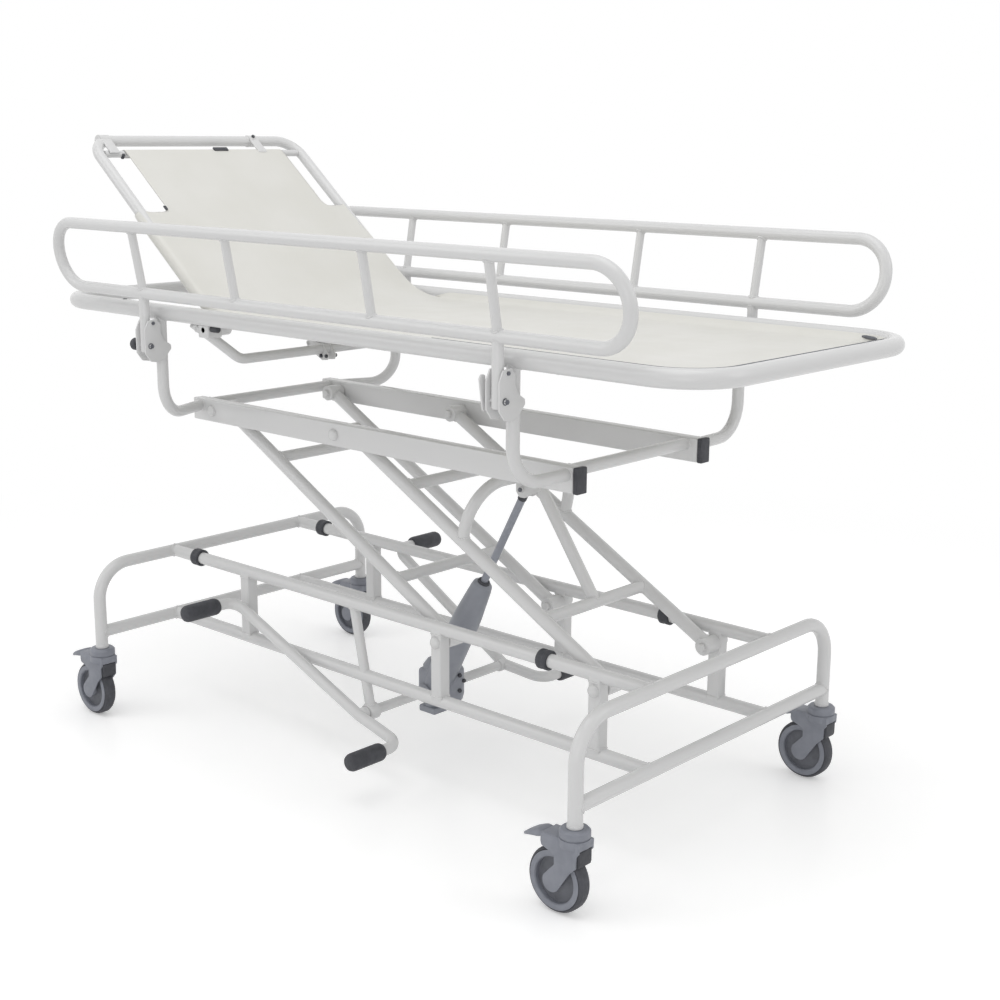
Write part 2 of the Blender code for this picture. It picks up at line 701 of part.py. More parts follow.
def make_hydraulics():
    axis = (CLEVIS - SHAFT).normalized()
    reach = (CLEVIS - SHAFT).length
    body, barrel = PUMP_DIAMETER / 2, BARREL_DIAMETER / 2
    neck, hole = NECK_DIAMETER / 2, ROD_DIAMETER / 2 + FIT
    barrel_start = PUMP_LENGTH + SHOULDER
    barrel_end = barrel_start + BARREL_LENGTH
    mouth = barrel_end + SHOULDER + NECK_LENGTH
    profile = [(hole, mouth), (neck, mouth), (neck, barrel_end + SHOULDER), (barrel, barrel_end),
               (barrel, barrel_start), (body, PUMP_LENGTH), (body, 0), (0, 0)]
    profile = [(0, ROD_BORE_END), (hole, ROD_BORE_END)] + profile
    # The barrel leans, and the casting below it that holds the shaft stands upright.
    side = CASTING_SIZE / 2
    casting = softened(box(SHAFT - Vector((side, side, PUMP_BASE)), SHAFT + Vector((side, side, CASTING_RISE))),
                       CASTING_ROUND)
    pump = welded([turned(profile, SHAFT, axis), casting])
    shaft_hole = bore(SHAFT.x, SHAFT.z, -CASTING_SIZE, CASTING_SIZE, SHAFT_DIAMETER)
    pivot = joint_axis("pump_axis", SHAFT)
    placed("pump_body", cut(pump, [shaft_hole]), GREY_PAINT, SHAFT, pivot)

    inner_end = SHAFT + axis * (mouth - ROD_INSERT)
    half = ROD_EYE_WIDTH / 2
    piston = welded([rod(inner_end, SHAFT + axis * reach, ROD_DIAMETER),
                     across(CLEVIS.x, CLEVIS.z, -half, half, ROD_EYE_DIAMETER, TURN_SIDES)])
    placed("piston_rod", piston, GREY_PAINT, CLEVIS)


def rocker_path(direction, reach, rise, drop):
    y = direction * ROCKER_Y
    outer = direction * (ROCKER_Y + PEDAL_WIDTH)
    pump_x, pump_z = SHAFT.x - reach, SHAFT.z + rise
    release_x, release_z = SHAFT.x + RELEASE_PEDAL_REACH, SHAFT.z - drop
    corners = [(pump_x, outer, pump_z), (pump_x, y, pump_z), (SHAFT.x, y, SHAFT.z), (release_x, y, release_z),
               (release_x, outer, release_z)]
    return rounded(corners, PEDAL_BEND)


def make_rocker():
    axis = joint_axis("pedal_axis", SHAFT)
    pedals = (("near", -1, PUMP_PEDAL_REACH, PUMP_PEDAL_RISE, RELEASE_PEDAL_DROP),
              ("far", 1, FAR_PEDAL_REACH, FAR_PEDAL_RISE, FAR_RELEASE_DROP))
    pieces = [across(SHAFT.x, SHAFT.z, -ROCKER_Y, ROCKER_Y, SHAFT_DIAMETER, TURN_SIDES)]
    pieces += [tube(rocker_path(*shape), PEDAL_TUBE) for _, *shape in pedals]
    placed("pedal_rocker", welded(pieces), WHITE_PAINT, SHAFT, axis)
    outer, hole = SLEEVE_DIAMETER / 2, PEDAL_TUBE / 2 + FIT
    tip = ROCKER_Y + PEDAL_WIDTH + FIT
    flat = outer - SLEEVE_EDGE
    profile = [(0, SLEEVE_END), (flat, SLEEVE_END), (outer, SLEEVE_END - SLEEVE_EDGE),
               (outer, SLEEVE_EDGE - SLEEVE_LENGTH), (flat, -SLEEVE_LENGTH), (hole, -SLEEVE_LENGTH),
               (hole, 0), (0, 0)]
    for side, direction, reach, rise, drop in pedals:
        for use, x, z in (("pump", SHAFT.x - reach, SHAFT.z + rise),
                          ("release", SHAFT.x + RELEASE_PEDAL_REACH, SHAFT.z - drop)):
            sleeve = turned(profile, (x, direction * tip, z), (0, direction, 0))
            placed(f"pedal_sleeve_{side}_{use}", sleeve, BLACK_RUBBER)


# Lift platform

def arm_path(end, direction):
    # A support arm leaves the beam near its end, runs outwards and bends up to the bed's side tube.
    x = BED_X + end * ARM_X
    root = BEAM_HEAD + ARM_INSET_HEAD if end < 0 else BEAM_FOOT - ARM_INSET_FOOT
    level = UPPER_A.z + ARM_RISE
    corners = [(root, direction * RAIL_Y, level), (x, direction * ARM_Y, level),
               (x, direction * ARM_Y, BED_Z - ARM_TOP_DROP)]
    return rounded(corners, ARM_BEND)


def bed_path():
    half = BED_LENGTH / 2
    corners = [(BED_X - half, -BED_Y, BED_Z), (BED_X + half, -BED_Y, BED_Z), (BED_X + half, BED_Y, BED_Z),
               (BED_X - half, BED_Y, BED_Z)]
    return rounded(corners, BED_BEND, closed=True)


def make_platform():
    z, half_height, half_width = UPPER_A.z, BEAM_HEIGHT / 2, BEAM_THICKNESS / 2
    pieces = []
    for _, y in SIDES:
        pieces.append(box((BEAM_HEAD, y * RAIL_Y - half_width, z - half_height),
                          (BEAM_FOOT, y * RAIL_Y + half_width, z + half_height)))
        pieces += [tube(arm_path(end, y), ARM_TUBE) for _, end in ENDS]
    for x in (BEAM_HEAD + HEAD_CROSS_INSET, BEAM_FOOT - FOOT_CROSS_INSET):
        pieces.append(across(x, z + half_height - PLATFORM_CROSS_DROP, -RAIL_Y, RAIL_Y, CROSS_TUBE))
    inner, outer = RAIL_Y - BEAM_THICKNESS, RAIL_Y + BEAM_THICKNESS
    tools = [bore(spot.x, spot.z, y * inner, y * outer, BOLT_DIAMETER)
             for spot in (UPPER_A, UPPER_B) for _, y in SIDES]
    tools.append(tube(bed_path(), BED_TUBE + 2 * FIT, closed=True))
    frame = cut(welded(pieces), tools)
    axis = joint_axis("platform_axis", UPPER_A)
    placed("platform_frame", frame, WHITE_PAINT, UPPER_A, axis)
    for side, y in SIDES:
        cap = box((BEAM_FOOT + FIT, y * RAIL_Y - half_width, z - half_height),
                  (BEAM_FOOT + FIT + BEAM_CAP, y * RAIL_Y + half_width, z + half_height))
        placed(f"beam_cap_{side}", softened(cap, BEAM_CAP_ROUND), BLACK_RUBBER)


# Bed frame, sheet and backrest

def make_bed():
    half = BED_LENGTH / 2
    pieces = [tube(bed_path(), BED_TUBE, closed=True)]
    for x in (MIDDLE_CROSS_X, FOOT_CROSS_X):
        pieces.append(across(BED_X + x, BED_Z - BED_CROSS_DROP, -BED_Y, BED_Y, BED_CROSS_TUBE))
    boss_inner, boss_outer = BACK_Y - HINGE_BOSS_LENGTH / 2, BACK_Y + HINGE_BOSS_LENGTH / 2 + FIT
    for _, y in SIDES:
        block = box((HINGE.x - LUG_SIZE / 2, min(y * boss_outer, y * BED_Y), HINGE.z - LUG_SIZE / 2),
                    (HINGE.x + LUG_SIZE / 2, max(y * boss_outer, y * BED_Y), BED_Z))
        pieces.append(block)
        pieces.append(across(HINGE.x, HINGE.z, y * boss_inner, y * BED_Y, HINGE_PIN))
    seat_x, seat_y, seat_z = HINGE.x - BAIL_SEAT_BACK, BED_Y - BAIL_SEAT_IN, BED_Z - BAIL_SEAT_DROP
    foot_y = BACK_Y - BAIL_INSET
    corners = [(seat_x, -seat_y, seat_z), (BAIL.x, -foot_y, BAIL.z), (BAIL.x, foot_y, BAIL.z),
               (seat_x, seat_y, seat_z)]
    pieces.append(tube(rounded(corners, BAIL_BEND), BAIL_TUBE))
    lug = BAIL + Vector((LUG_REACH, 0, -LUG_DROP))
    for y in (-1, 1):
        pieces.append(plate_across([BAIL, lug, GAS_FOOT], GAS_PLATE_WIDTH, y * GAS_CHEEK_Y, BRACKET_PLATE))
    pieces.append(across(GAS_FOOT.x, GAS_FOOT.z, -GAS_CHEEK_Y, GAS_CHEEK_Y, GAS_PIN))
    placed("bed_frame", welded(pieces), WHITE_PAINT)

    tube_radius = BED_TUBE / 2
    below = SHEET_DROP - SHEET_THICKNESS / 2
    flank = math.sqrt(tube_radius ** 2 - below ** 2) + FIT
    head = HINGE.x + SHEET_HEAD_GAP
    foot = BED_X + half - tube_radius - SHEET_FOOT_GAP
    side = BED_Y - flank
    shape = [Vector((x, y, 0)) for x, y in ((head, -side), (foot, -side), (foot, side), (head, side))]
    arcs = rounded(shape, SHEET_CORNER, closed=True)
    foot_arcs = [p for p in arcs if p.x > BED_X]
    points = [shape[0]] + foot_arcs + [shape[3]]
    frame = Matrix.Translation((0, 0, BED_Z - SHEET_DROP))
    placed("lying_sheet", outline(points, SHEET_THICKNESS, frame), SHEET_CLOTH)


def back_point(distance, y, lift=0.0):
    return HINGE + BACK_DIRECTION * distance + BACK_NORMAL * lift + Vector((0, y, 0))


def make_backrest():
    axis = joint_axis("backrest_axis", HINGE)
    corners = [back_point(0, -BACK_Y), back_point(BACKREST_LENGTH, -BACK_Y),
               back_point(BACKREST_LENGTH, BACK_Y), back_point(0, BACK_Y)]
    pieces = [tube(rounded(corners, BACKREST_BEND), BACKREST_TUBE)]
    half = BACKREST_TUBE / 2
    bar = back_point(BACK_BAR_AT, 0)
    pieces.append(rod(back_point(BACK_BAR_AT, -BACK_Y), back_point(BACK_BAR_AT, BACK_Y), BACK_BAR))
    stub = GAS_CHEEK_Y + BRACKET_PLATE / 2 + STUB_LENGTH
    for y in (-1, 1):
        pieces.append(plate_across([bar, GAS_TIP], GAS_PLATE_WIDTH, y * GAS_CHEEK_Y, BRACKET_PLATE))
        pieces.append(across(GAS_TIP.x, GAS_TIP.z, y * GAS_CHEEK_Y, y * stub, STUB_DIAMETER))
    boss = HINGE_BOSS_LENGTH / 2
    pieces += [across(HINGE.x, HINGE.z, y * (BACK_Y - boss), y * (BACK_Y + boss), HINGE_BOSS, TURN_SIDES)
               for _, y in SIDES]
    bores = [bore(HINGE.x, HINGE.z, y * (BACK_Y - BACKREST_TUBE), y * (BACK_Y + BACKREST_TUBE), HINGE_PIN)
             for _, y in SIDES]
    placed("backrest_frame", cut(welded(pieces), bores), WHITE_PAINT, HINGE, axis)

    bar = BACKREST_LENGTH - HEM_BAR_INSET
    bend = BACKREST_BEND * math.cos(BEND_STEP / 2) - half
    past = max(0, bar + HEM_BAR / 2 - (BACKREST_LENGTH - BACKREST_BEND))
    bar_end = BACK_Y - BACKREST_BEND + math.sqrt(bend ** 2 - past ** 2) - FIT
    placed("hem_bar", rod(back_point(bar, -bar_end), back_point(bar, bar_end), HEM_BAR), WHITE_PAINT)

    wide, narrow = BACK_SHEET_WIDTH / 2, BACK_SHEET_NECK / 2
    top = bar - HEM_BAR / 2 - FIT
    shape = [(BACK_SHEET_START, -wide), (BACK_SHEET_SLOT, -wide), (BACK_SHEET_SLOT, -narrow), (top, -narrow),
             (top, narrow), (BACK_SHEET_SLOT, narrow), (BACK_SHEET_SLOT, wide), (BACK_SHEET_START, wide)]
    lift = half + FIT + SHEET_THICKNESS / 2
    turn = Matrix((BACK_DIRECTION, (0, -1, 0), BACK_NORMAL)).transposed().to_4x4()
    frame = Matrix.Translation(HINGE + BACK_NORMAL * lift) @ turn
    placed("backrest_sheet", outline(shape, SHEET_THICKNESS, frame), SHEET_CLOTH)


def make_gas_spring():
    axis = (GAS_TIP - GAS_FOOT).normalized()
    reach = (GAS_TIP - GAS_FOOT).length
    half = GAS_EYE_WIDTH / 2
    pivot = joint_axis("gas_spring_axis", GAS_FOOT)
    end = GAS_CYLINDER_LENGTH
    tongue = box((0, GAS_PIN / 2 - half, -GAS_PIN / 2), (GAS_EYE, half - GAS_PIN / 2, GAS_PIN / 2))
    turn = Matrix((axis, (0, 1, 0), axis.cross(Vector((0, 1, 0))))).transposed().to_4x4()
    tongue.data.transform(Matrix.Translation(GAS_FOOT) @ turn)
    cylinder = welded([rod(GAS_FOOT + axis * GAS_TONGUE, GAS_FOOT + axis * end, GAS_CYLINDER), tongue,
                       across(GAS_FOOT.x, GAS_FOOT.z, -half, half, GAS_EYE, TURN_SIDES)])
    tools = [bore(GAS_FOOT.x, GAS_FOOT.z, -GAS_CYLINDER, GAS_CYLINDER, GAS_PIN),
             rod(GAS_FOOT + axis * (end - GAS_BORE), GAS_FOOT + axis * (end + GAS_ROD), GAS_ROD + 2 * FIT)]
    placed("gas_spring_cylinder", cut(cylinder, tools), BLACK_RUBBER, GAS_FOOT, pivot)
    piston = welded([rod(GAS_FOOT + axis * (end - GAS_ROD_INSERT), GAS_FOOT + axis * reach, GAS_ROD),
                     across(GAS_TIP.x, GAS_TIP.z, -half, half, GAS_EYE, TURN_SIDES)])
    placed("gas_spring_rod", piston, BRIGHT_STEEL, GAS_TIP)


# Side rails

def make_side_rail(side, direction):
    y = direction * SIDE_RAIL_Y
    half = RAIL_LENGTH / 2 - RAIL_TUBE / 2
    top = RAIL_BOTTOM + RAIL_HEIGHT
    # The legs stand upright, and the loop that they carry leans outwards.
    top_y = y + direction * RAIL_SPLAY
    corners = [(BED_X - half, y, RAIL_BOTTOM), (BED_X + half, y, RAIL_BOTTOM), (BED_X + half, top_y, top),
               (BED_X - half, top_y, top)]
    pieces = [tube(rounded(corners, RAIL_HEIGHT / 2 - FIT, closed=True), RAIL_TUBE, closed=True)]
    legs = [BED_X + x * ARM_X for _, x in ENDS]
    plate_face = RAIL_TUBE / 2 + BRACKET_PLAY + BRACKET_PLATE
    foot_end = plate_face + STUB_LENGTH
    for x, head_end in zip(legs, (plate_face + KNOB_PIN_LENGTH, foot_end)):
        pieces.append(rod((x, y, RAIL_PIVOT_Z - RAIL_LEG_TAIL), (x, y, RAIL_BOTTOM), RAIL_LEG))
        pieces.append(rod((x - head_end, y, RAIL_PIVOT_Z), (x + foot_end, y, RAIL_PIVOT_Z), RAIL_PIN))
    for x in (legs[0], BED_X - RAIL_BAR_X, BED_X + RAIL_BAR_X, legs[1]):
        pieces.append(rod((x, y, RAIL_BOTTOM), (x, top_y, top), RAIL_BAR))
    axis = joint_axis(f"rail_axis_{side}", (BED_X, y, RAIL_PIVOT_Z))
    placed(f"side_rail_{side}", welded(pieces), WHITE_PAINT, (BED_X, y, RAIL_PIVOT_Z), axis)

    # The latch knob slides on the end of the head leg's pivot pin.
    knob, neck, hole = KNOB_DIAMETER / 2, KNOB_NECK / 2, RAIL_PIN / 2 + FIT
    seat, pin_end = plate_face + FIT, plate_face + KNOB_PIN_LENGTH + FIT
    grip, out = seat + KNOB_NECK_LENGTH, seat + KNOB_LENGTH
    profile = [(0, out), (knob - KNOB_EDGE, out), (knob, out - KNOB_EDGE), (knob, grip), (neck, grip),
               (neck, seat), (hole, seat), (hole, pin_end), (0, pin_end)]
    place = Vector((legs[0], y, RAIL_PIVOT_Z))
    placed(f"latch_knob_{side}", turned(profile, place, (-1, 0, 0)), BLACK_RUBBER, place)

    for end, x in zip(("head", "foot"), legs):
        make_bracket(f"rail_bracket_{side}_{end}", x, direction)


def make_bracket(name, x, direction):
    arm_face = ARM_Y + ARM_TUBE / 2 + FIT
    lip = SIDE_RAIL_Y + BRACKET_LIP
    low, high = RAIL_PIVOT_Z - BRACKET_BOTTOM, RAIL_PIVOT_Z + BRACKET_TOP
    inner = RAIL_TUBE / 2 + BRACKET_PLAY
    outer = inner + BRACKET_PLATE

    def slab(x_low, x_high, y_low, y_high):
        ends = sorted((direction * y_low, direction * y_high))
        return box((x + x_low, ends[0], low), (x + x_high, ends[1], high))

    pieces = [slab(-outer, outer, arm_face, arm_face + BRACKET_WEB), slab(-outer, -inner, arm_face, lip),
              slab(inner, outer, arm_face, lip)]
    y = direction * SIDE_RAIL_Y
    hole = rod((x - 2 * outer, y, RAIL_PIVOT_Z), (x + 2 * outer, y, RAIL_PIVOT_Z), RAIL_PIN + 2 * FIT,
               TURN_SIDES)
    bed_y = direction * BED_Y
    bed_tube = rod((x - 2 * outer, bed_y, BED_Z), (x + 2 * outer, bed_y, BED_Z), BED_TUBE + 2 * FIT)
    placed(name, cut(welded(pieces), [hole, bed_tube]), WHITE_PAINT)


for end_name, end_sign in ENDS:
    make_hoop(end_name, end_sign)
for side_name, side_sign in SIDES:
    make_side_frame(side_name, side_sign)
make_buffers()
for end_name, side_name, leg_place in leg_places():
    make_castor(end_name, side_name, leg_place)
make_links()
for side_name, side_sign in SIDES:
    for letter, lower, upper in (("a", PIVOT_A, UPPER_A), ("b", PIVOT_B, UPPER_B)):
        make_bolt(f"lower_bolt_{letter}_{side_name}", lower, side_sign, RAIL_Y + POST_SIZE / 2)
        make_bolt(f"upper_bolt_{letter}_{side_name}", upper, side_sign, RAIL_Y + BEAM_THICKNESS / 2)
make_hydraulics()
make_rocker()
make_platform()
make_bed()
make_backrest()
make_gas_spring()
for side_name, side_sign in SIDES:
    make_side_rail(side_name, side_sign)
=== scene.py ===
import math

import bmesh
import bpy
from mathutils import Matrix, Vector, noise


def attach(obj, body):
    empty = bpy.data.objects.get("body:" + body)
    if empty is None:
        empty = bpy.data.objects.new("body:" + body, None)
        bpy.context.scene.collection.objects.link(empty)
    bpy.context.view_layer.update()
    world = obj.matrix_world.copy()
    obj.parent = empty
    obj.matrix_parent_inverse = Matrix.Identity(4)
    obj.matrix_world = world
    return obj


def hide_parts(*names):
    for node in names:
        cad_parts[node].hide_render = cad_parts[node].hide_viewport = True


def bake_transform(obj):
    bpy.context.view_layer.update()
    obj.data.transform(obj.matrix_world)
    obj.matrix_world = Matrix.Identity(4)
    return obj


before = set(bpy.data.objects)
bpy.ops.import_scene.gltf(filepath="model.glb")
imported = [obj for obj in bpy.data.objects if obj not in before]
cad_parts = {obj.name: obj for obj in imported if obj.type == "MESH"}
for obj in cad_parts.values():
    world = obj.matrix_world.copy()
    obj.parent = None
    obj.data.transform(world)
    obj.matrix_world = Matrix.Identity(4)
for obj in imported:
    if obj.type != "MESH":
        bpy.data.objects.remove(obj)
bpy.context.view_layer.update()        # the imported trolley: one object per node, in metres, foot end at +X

scene = bpy.context.scene
scene.view_settings.view_transform = "Standard"
sides = {"near": -1, "far": 1}
ends = {"head": -1, "foot": 1}
bothWays = (-1, 1)
alongX, alongY, alongZ = Vector((1, 0, 0)), Vector((0, 1, 0)), Vector((0, 0, 1))
print("frame loaded:", len(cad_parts), "nodes")


# materials

def linear(hexValue):
    parts = [int(hexValue[i:i + 2], 16) / 255 for i in (1, 3, 5)]
    return tuple(c / 12.92 if c <= 0.04045 else ((c + 0.055) / 1.055) ** 2.4 for c in parts) + (1.0,)


def addNode(tree, kind, settings=None, links=None):
    node = tree.nodes.new("ShaderNode" + kind)
    for key, value in (settings or {}).items():
        if isinstance(key, str) and hasattr(node, key):
            setattr(node, key, value)
        else:
            node.inputs[key].default_value = value
    for key, socket in (links or {}).items():
        tree.links.new(socket, node.inputs[key])
    return node


def emptyTree(owner):
    owner.use_nodes = True
    owner.node_tree.nodes.clear()
    return owner.node_tree


def linked(name, data):    # a new object in the scene
    made = bpy.data.objects.new(name, data)
    scene.collection.objects.link(made)
    return made


def perMetre(millimetres):    # pattern scale for features of that size
    return 1000.0 / millimetres


def newSurface(name, shader):
    made = bpy.data.materials.new(name)
    tree = emptyTree(made)
    body = addNode(tree, "BsdfPrincipled", shader)
    addNode(tree, "OutputMaterial", None, {"Surface": body.outputs[0]})
    return made, tree, body, addNode(tree, "TexCoord").outputs["Object"]


def mottled(tree, body, place, colours, patchMm, roughness, grainMm, height):
    # colour drifts in patches, roughness follows a finer cloud, and the grain lifts the surface
    patch, cloud, grain = (
        addNode(tree, "TexNoise", {"Scale": perMetre(size), "Detail": detail}, {"Vector": place}).outputs["Fac"]
        for size, detail in ((patchMm, 3.0), (patchMm / 3, 2.0), (grainMm, 2.0)))
    ramp = addNode(tree, "ValToRGB", None, {"Fac": patch})
    for element, position, colour in zip(ramp.color_ramp.elements, (0.35, 0.65), colours):
        element.position, element.color = position, linear(colour)
    tree.links.new(ramp.outputs["Color"], body.inputs["Base Color"])
    rough = addNode(tree, "MapRange", {"From Min": 0.3, "From Max": 0.7, "To Min": roughness[0],
                                       "To Max": roughness[1]}, {"Value": cloud})
    tree.links.new(rough.outputs[0], body.inputs["Roughness"])
    bump = addNode(tree, "Bump", {"Strength": 1.0, "Distance": height}, {"Height": grain})
    tree.links.new(bump.outputs[0], body.inputs["Normal"])
    return bump


def makeFinish(name, shader, colours, patchMm, roughness, grainMm, height):
    made, tree, body, place = newSurface(name, shader)
    mottled(tree, body, place, colours, patchMm, roughness, grainMm, height)
    return made


# polyester powder coat baked on steel tube: a clean satin white with a faint orange peel
powderCoat = makeFinish("polyester_powder_coat", {"IOR": 1.5, "Specular IOR Level": 0.5},
                        ("#d6d6d6", "#d7d7d7"), 600, (0.24, 0.25), 4.0, 0.000004)
# glass-filled nylon, injection moulded: even grey with a fine spark-eroded grain
nylonGrey = makeFinish("glass_filled_nylon", {"IOR": 1.53}, ("#7c7f88", "#858891"), 25, (0.42, 0.52), 1.2, 0.00003)
# the same nylon in the wheel's dish: a darker grey, with painted shade of the recess inside the rim in its colour;
# the dark edge cord has it too
nylonDarkPaintedShade = makeFinish("dark_nylon_painted_shade", {"IOR": 1.53}, ("#5c5e64", "#686a71"), 18, (0.50, 0.62), 1.2, 0.00004)
# thermoplastic rubber tread, moulded: dark grey and dull, a little scuffed
treadRubber = makeFinish("tread_rubber", {"IOR": 1.5}, ("#404146", "#494a50"), 14, (0.55, 0.75), 1.0, 0.00006)
# stoving enamel over a cast pump body: satin grey with slight casting waviness
pumpEnamel = makeFinish("stoved_enamel", {"IOR": 1.5}, ("#8b8e96", "#93969e"), 40, (0.36, 0.46), 4.0, 0.00005)
# moulded rubber: near-black, dull, slightly bloomed
mouldedRubber = makeFinish("moulded_rubber", {"IOR": 1.5}, ("#3b3c41", "#44454a"), 20, (0.55, 0.70), 0.9, 0.00005)
# zinc-plated steel screws: grey, softly metallic
zincPlate = makeFinish("zinc_plate", {"Metallic": 1.0}, ("#66686e", "#74767c"), 6, (0.36, 0.48), 0.8, 0.00003)
# ground and hard-chromed rod under an oil film: blue-grey with a soft streak of light
groundRod = makeFinish("ground_rod", {"Metallic": 0.2}, ("#8e919a", "#9699a2"), 30, (0.30, 0.40), 0.8, 0.00001)


def makeCloth():
    # PVC-coated polyester, calendered: off-white, semi-gloss, the weave just prints through the coating
    made, tree, body, place = newSurface("coated_polyester", {"IOR": 1.5, "Sheen Weight": 0.05})
    bump = mottled(tree, body, place, ("#d9d8d2", "#dddcd7"), 160, (0.38, 0.48), 40.0, 0.0003)
    threadMm = 2.4        # the real thread is about 1 mm; drawn coarser so that it shows
    waves = [addNode(tree, "TexWave",
                     {"wave_type": "BANDS", "bands_direction": way, "Scale": perMetre(threadMm) / 20,
                      "Distortion": 0.2, "Detail": 0.0}, {"Vector": place}) for way in ("X", "Y")]
    weave = addNode(tree, "Math", {"operation": "MULTIPLY"},
                    {k: wave.outputs["Fac"] for k, wave in enumerate(waves)})
    fine = addNode(tree, "Bump", {"Strength": 0.5, "Distance": 0.0001},
                   {"Height": weave.outputs[0], "Normal": bump.outputs[0]})
    tree.links.new(fine.outputs[0], body.inputs["Normal"])
    return made


coatedCloth = makeCloth()
print("materials made")


# shape helpers

weld = {"bead": 0.0022, "fine": 0.0020, "thin": 0.0014, "around": 8, "laps": 54, "ripples": 18, "ripple": 0.2}


def mm(*pairs):    # points written in millimetres
    return [(a / 1000, b / 1000) for a, b in pairs]


def offXz(spot, *pairs):    # points in the XZ plane, in millimetres from a spot
    return [(spot.x + a, spot.z + b) for a, b in mm(*pairs)]


def turnsOf(count):    # even angles round a circle
    return [2 * math.pi * k / count for k in range(count)]


def mirrored(profile):    # a lathe profile and its mirror image below
    return profile + [(r, -h) for r, h in profile[::-1]]


def skin(bm, one, two):    # faces between two rings of as many points
    count = len(one)
    for k in range(count):
        j = (k + 1) % count
        bm.faces.new((one[k], one[j], two[j], two[k]))


def bent(corners, radius, closed=False, step=7):
    # the middle line of a bent tube: each corner becomes an arc
    spots = [Vector(c) for c in corners]
    count, path = len(spots), []
    for i, corner in enumerate(spots):
        if not closed and i in (0, count - 1):
            path.append(corner)
            continue
        back = (spots[i - 1] - corner).normalized()
        ahead = (spots[(i + 1) % count] - corner).normalized()
        half = back.angle(ahead) / 2
        centre = corner + (back + ahead).normalized() * (radius / math.sin(half))
        first = corner + back * (radius / math.tan(half)) - centre
        turn = math.pi - 2 * half
        normal = back.cross(ahead).normalized()
        steps = max(3, math.ceil(math.degrees(turn) / step))
        path += [centre + Matrix.Rotation(-turn * k / steps, 3, normal) @ first for k in range(steps + 1)]
    return path


def sweep(bm, path, radius, closed=False, around=28):
    # a round tube along a path; radius is one value or one per point
    spots = [Vector(p) for p in path]
    count = len(spots)
    radii = radius if hasattr(radius, "__len__") else [radius] * count
    side, rings, turns = None, [], turnsOf(around)
    for i, spot in enumerate(spots):
        before = spots[i - 1] if closed or i > 0 else spot
        after = spots[(i + 1) % count] if closed or i < count - 1 else spot
        ahead = (after - before).normalized()
        side = ahead.orthogonal() if side is None else side - ahead * side.dot(ahead)
        side.normalize()
        up = ahead.cross(side)
        rings.append([bm.verts.new(spot + (side * math.cos(a) + up * math.sin(a)) * radii[i]) for a in turns])
    for i in range(count if closed else count - 1):
        skin(bm, rings[i], rings[(i + 1) % count])
    if not closed:
        bm.faces.new(rings[0][::-1])
        bm.faces.new(rings[-1])


def straight(bm, start, end, radius, around=28):
    sweep(bm, [start, end], radius, around=around)


def bead(bm, ring, radius):    # a weld bead along a closed line
    sweep(bm, ring, radius, closed=True, around=weld["around"])


def saddle(bm, foot, mainWay, branchWay, mainRadius, branchRadius, thick=weld["bead"]):
    # the weld where a tube meets another: a rippled bead along the line where they cross
    foot, main, away = Vector(foot), Vector(mainWay).normalized(), Vector(branchWay).normalized()
    one = (main - away * main.dot(away)).normalized()
    two = away.cross(one)
    flat = away - main * away.dot(main)
    ring, radii = [], []
    for a in turnsOf(weld["laps"]):
        q = (one * math.cos(a) + two * math.sin(a)) * branchRadius
        level = q - main * q.dot(main)
        big, mid, rest = flat.length_squared, level.dot(flat), level.length_squared - mainRadius ** 2
        ring.append(foot + q + away * ((-mid + math.sqrt(max(mid * mid - big * rest, 0))) / big))
        radii.append(thick * (1 + weld["ripple"] * math.sin(weld["ripples"] * a)))
    bead(bm, ring, radii)


def branch(bm, start, end, radius, mainWays, mainRadii):
    # a straight tube with a weld bead at each end that meets another tube
    start, end = Vector(start), Vector(end)
    straight(bm, start, end, radius)
    for spot, way, main, thick in zip((start, end), (end - start, start - end), mainWays, mainRadii):
        if main is not None:
            saddle(bm, spot, main, way, thick, radius)


def turned(bm, profile, place, axis, around=40, ring=False):
    # a lathe shape: radius and height pairs about a line
    spot = Matrix.Translation(Vector(place)) @ Vector(axis).to_track_quat("Z", "Y").to_matrix().to_4x4()
    rings = []
    for r, h in profile:
        turns = turnsOf(around) if r > 1e-6 else [0]
        rings.append([bm.verts.new(spot @ Vector((r * math.cos(a), r * math.sin(a), h))) for a in turns])
    for one, two in list(zip(rings, rings[1:])) + ([(rings[-1], rings[0])] if ring else []):
        if len(one) == len(two):
            skin(bm, one, two)
            continue
        for k in range(around):      # a fan to the point on the line
            j = (k + 1) % around
            bm.faces.new((one[0], two[j], two[k]) if len(one) == 1 else (one[k], one[j], two[0]))


def eased(profile, radius, closed=False):    # a lathe profile with its corners rounded
    return [(p.x, p.z) for p in bent([(r, 0, h) for r, h in profile], radius, closed, 22)]


def bush(bm, inner, outer, half, ease, place, around=40):    # a sleeve across the trolley
    turned(bm, eased(mirrored([(inner, half), (outer, half)]), ease, True), place, alongY, around, True)


def disc(bm, radius, height, ease, place, axis, around=24):
    turned(bm, eased([(0, height), (radius, height), (radius, 0), (0, 0)], ease), place, axis, around)


def poured(bm, part):
    held = bpy.data.meshes.new("held")
    part.to_mesh(held)
    part.free()
    bm.from_mesh(held)
    bpy.data.meshes.remove(held)


def softEdges(part, width, steps=3):
    bmesh.ops.recalc_face_normals(part, faces=part.faces)
    sharp = [e for e in part.edges if e.calc_face_angle(0) > 0.6]
    bmesh.ops.bevel(part, geom=sharp, offset=width, segments=steps, affect="EDGES", profile=0.5, clamp_overlap=True)


